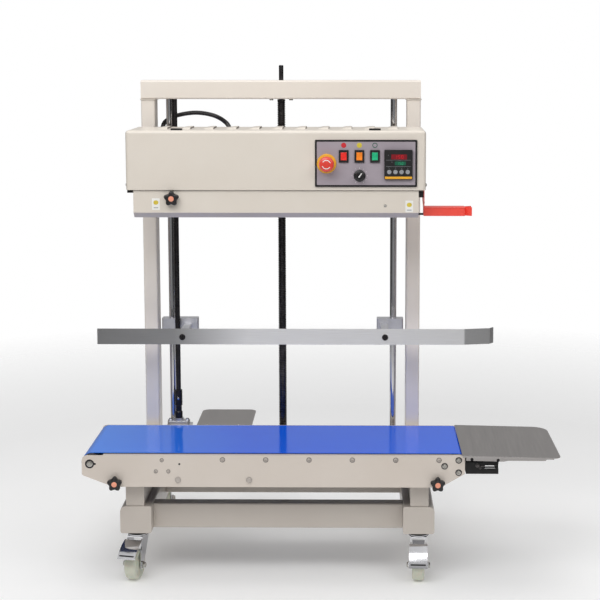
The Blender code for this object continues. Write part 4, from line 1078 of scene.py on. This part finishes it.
def guide_details():
    """The bar's screws, and the clamps' screws, slits and wing handles."""
    front, level = limits("guide_bar")[0].y, centre("guide_bar").z - 0.0015
    screws = bolts([(x, front, level) for x in (-0.263, 0.2843)], "front", "socket", 0.0062, 0.004)
    piece("guide_bar_screws", screws, BLACK_STEEL, "guide", "black_steel")
    screws, splits = [], []
    for side, sign in (("left", -1), ("right", 1)):
        low, high = limits(f"{side}_clamp")
        level = high.z - 0.010
        ears = [(x, low.y, level) for x in (low.x + 0.0065, high.x - 0.0065)]
        screws += bolts(ears, "front", "socket", 0.0030, 0.0025, False)
        split = slab(rounded(0.0008, high.z - low.z - 0.002, 0.0003, 2), 0, 0.0003)
        splits.append((split, spot(sign * 0.2985, low.y, (high.z + low.z) / 2)))
        wing = slab(rounded(0.014, 0.0045, 0.002), 0, 0.003, 0.0008)
        splits.append((wing, spot(sign * 0.2755 - 0.0065, low.y - 0.0002, level - 0.002, turn=0.15)))
    piece("clamp_screws", screws, BLACK_STEEL, "guide", "black_steel")
    piece("clamp_splits", splits, BLACK_STEEL, "guide", "black_steel")


# Casters

TRAIL = 0.028
YAW = {"left_front": -13, "right_front": -3, "left_rear": 184, "right_rear": 176}
PEDAL_HINGE = Vector((0, -0.014, 0.098))
PRESSED = {"left_front": 0.0, "right_front": math.radians(22)}


def caster_details(corner):
    """A smooth wheel with its hub and tread, the swivel's seal, the axle's nuts and the brake shoe."""
    side, end = corner.split("_")
    x, y = {"left": -0.373, "right": 0.373}[side], {"front": 0.080, "rear": 0.595}[end]
    swivel = Matrix.Translation(place(x, y, 0)) @ Matrix.Rotation(math.radians(YAW[corner]), 4, "Z")
    hub = swivel @ Matrix.Translation((0, -TRAIL, 0.040))

    half, edge, shoulder = 0.016, 0.0398, 0.007
    rim = [(0.0064, half), (0.013, half), (0.0135, half - 0.0008), (0.017, half - 0.003),
           (0.026, half - 0.003), (0.0300, half - 0.0004)]
    for step in range(7):
        turn = step / 6 * QUARTER
        rim.append((edge - shoulder * (1 - math.sin(turn)), half - shoulder * (1 - math.cos(turn))))
    mirrored = [(radius, -level) for radius, level in reversed(rim)]
    wheel = turned([*rim, (edge, 0.0), *mirrored, rim[0]], 56)
    axle = hub @ Matrix.Rotation(QUARTER, 4, "Y")
    piece(f"{corner}_wheel_tread", [(wheel, axle)], NYLON, f"{corner}_wheel", "nylon", 40,
          (f"{corner}_caster_wheel",))

    race = tube(0.0258, 0.0272, 0.1152, 0.1162, 40)
    dome = turned([(0.0, 0.1275), (0.0218, 0.1270), (0.0262, 0.1235), (0.0272, 0.1215), (0.0276, 0.1185),
                   (0.0262, 0.1180), (0.0, 0.1180)], 40)
    parts = [(race, swivel), (dome, swivel)]
    piece(f"{corner}_swivel_seal", parts, BLACK, f"{corner}_caster", "black_plastic")
    nuts = []
    for sign in (-1, 1):
        outside = hub @ Matrix.Translation((sign * 0.0258, 0, 0)) @ Matrix.Rotation(sign * QUARTER, 4, "Y")
        nuts += bolt(outside, "hex", 0.0072, 0.0050, False)
    piece(f"{corner}_axle_nuts", nuts, ZINC, f"{corner}_caster", "chrome")

    if corner in PRESSED:
        turn = Matrix.Translation(PEDAL_HINGE) @ Matrix.Rotation(PRESSED[corner], 4, "X")
        turn @= Matrix.Translation(Vector((0, -0.0815, 0)) - PEDAL_HINGE)
        shoe = slab(rounded(0.040, 0.0080, 0.001), 0.0779, 0.0820, 0.0006)
        piece(f"{corner}_brake_shoe", [(shoe, swivel @ turn)], BLACK, f"{corner}_pedal", "black_plastic")


stand_details()
threaded_screw()
conveyor_details()
drive_details()
joint_details()
table_details()
for knob in ("left_belt_knob", "right_belt_knob", "pressure_knob"):
    star_knob(knob)
cover_details()
guard_details()
panel_details()
speed_details()
controller_details()
infeed_guide_details()
chassis_details()
hose()
guide_details()
for corner in CORNERS:
    caster_details(corner)


# Studio


def floor():
    """A pale disc that fades out before its edge, so that no horizon shows."""
    material, tree, principled = shader("studio_floor", 0.6)
    tree.links.new(blend(tree, noise(tree, 0.4, 2), (0.90, 0.90, 0.90), (0.93, 0.93, 0.93)),
                   principled.inputs["Base Color"])
    principled.inputs["Emission Color"].default_value = (1, 1, 1, 1)
    principled.inputs["Emission Strength"].default_value = 0.12
    source = tree.nodes.new("ShaderNodeTexCoord")
    length = tree.nodes.new("ShaderNodeVectorMath")
    length.operation = "LENGTH"
    tree.links.new(source.outputs["Object"], length.inputs[0])
    fade = span(tree, length.outputs["Value"], 0.0, 1.0, 1.6, 3.4)
    clear = tree.nodes.new("ShaderNodeBsdfTransparent")
    mix = tree.nodes.new("ShaderNodeMixShader")
    tree.links.new(fade, mix.inputs["Fac"])
    tree.links.new(principled.outputs["BSDF"], mix.inputs[1])
    tree.links.new(clear.outputs["BSDF"], mix.inputs[2])
    tree.links.new(mix.outputs["Shader"], tree.nodes["Material Output"].inputs["Surface"])
    shape = bmesh.new()
    bmesh.ops.create_circle(shape, cap_ends=True, radius=3.6, segments=96)
    mesh = bpy.data.meshes.new("studio_floor")
    shape.to_mesh(mesh)
    shape.free()
    mesh.materials.append(material)
    made = bpy.data.objects.new("studio_floor", mesh)
    bpy.context.scene.collection.objects.link(made)


def softbox(name, at, towards, width, height, energy):
    """A soft light that the camera doesn't see."""
    light = bpy.data.lights.new(name, "AREA")
    light.shape = "RECTANGLE"
    light.size, light.size_y = width, height
    light.energy = energy
    made = bpy.data.objects.new(name, light)
    bpy.context.scene.collection.objects.link(made)
    made.location = at
    made.rotation_euler = (Vector(towards) - Vector(at)).to_track_quat("-Z", "Y").to_euler()
    made.visible_camera = False


def surroundings():
    """White for the camera; for everything else a room with a bright ceiling and darker sides."""
    world = bpy.data.worlds.new("studio")
    bpy.context.scene.world = world
    world.use_nodes = True
    tree = world.node_tree
    background = tree.nodes["Background"]
    background.inputs["Color"].default_value = (1, 1, 1, 1)
    wall = span(tree, worked(tree, "ABSOLUTE", axis(tree, "X", "Generated")), 0.27, 0.06, 0.25, 0.80)
    ceiling = span(tree, axis(tree, "Z", "Generated"), 0.0, 0.50, 0.15, 0.85)
    path = tree.nodes.new("ShaderNodeLightPath")
    mix = tree.nodes.new("ShaderNodeMix")
    tree.links.new(path.outputs["Is Camera Ray"], mix.inputs["Factor"])
    tree.links.new(worked(tree, "ADD", wall, ceiling), mix.inputs[2])
    mix.inputs[3].default_value = 1.0
    tree.links.new(mix.outputs[0], background.inputs["Strength"])


floor()
surroundings()
softbox("key", (-0.8, -1.9, 2.5), (0, 0, 1.1), 2.0, 1.2, 30)
softbox("fill", (1.6, -1.9, 2.3), (0, 0, 1.0), 1.4, 1.2, 12)
softbox("top", (0.2, 0.2, 3.4), (0, 0, 0.5), 2.4, 1.6, 15)

camera_data = bpy.data.cameras.new("camera")
camera_data.sensor_width = 36
camera_data.lens = 85.88
camera_data.shift_x, camera_data.shift_y = -0.0749, -0.1193
camera = bpy.data.objects.new("camera", camera_data)
bpy.context.scene.collection.objects.link(camera)
camera.location = place(0.2099, -3.6, 1.3773)
camera.rotation_euler = (QUARTER - 0.1203, 0, 0.0089)
bpy.context.scene.camera = camera
bpy.context.scene.view_settings.view_transform = "Standard"
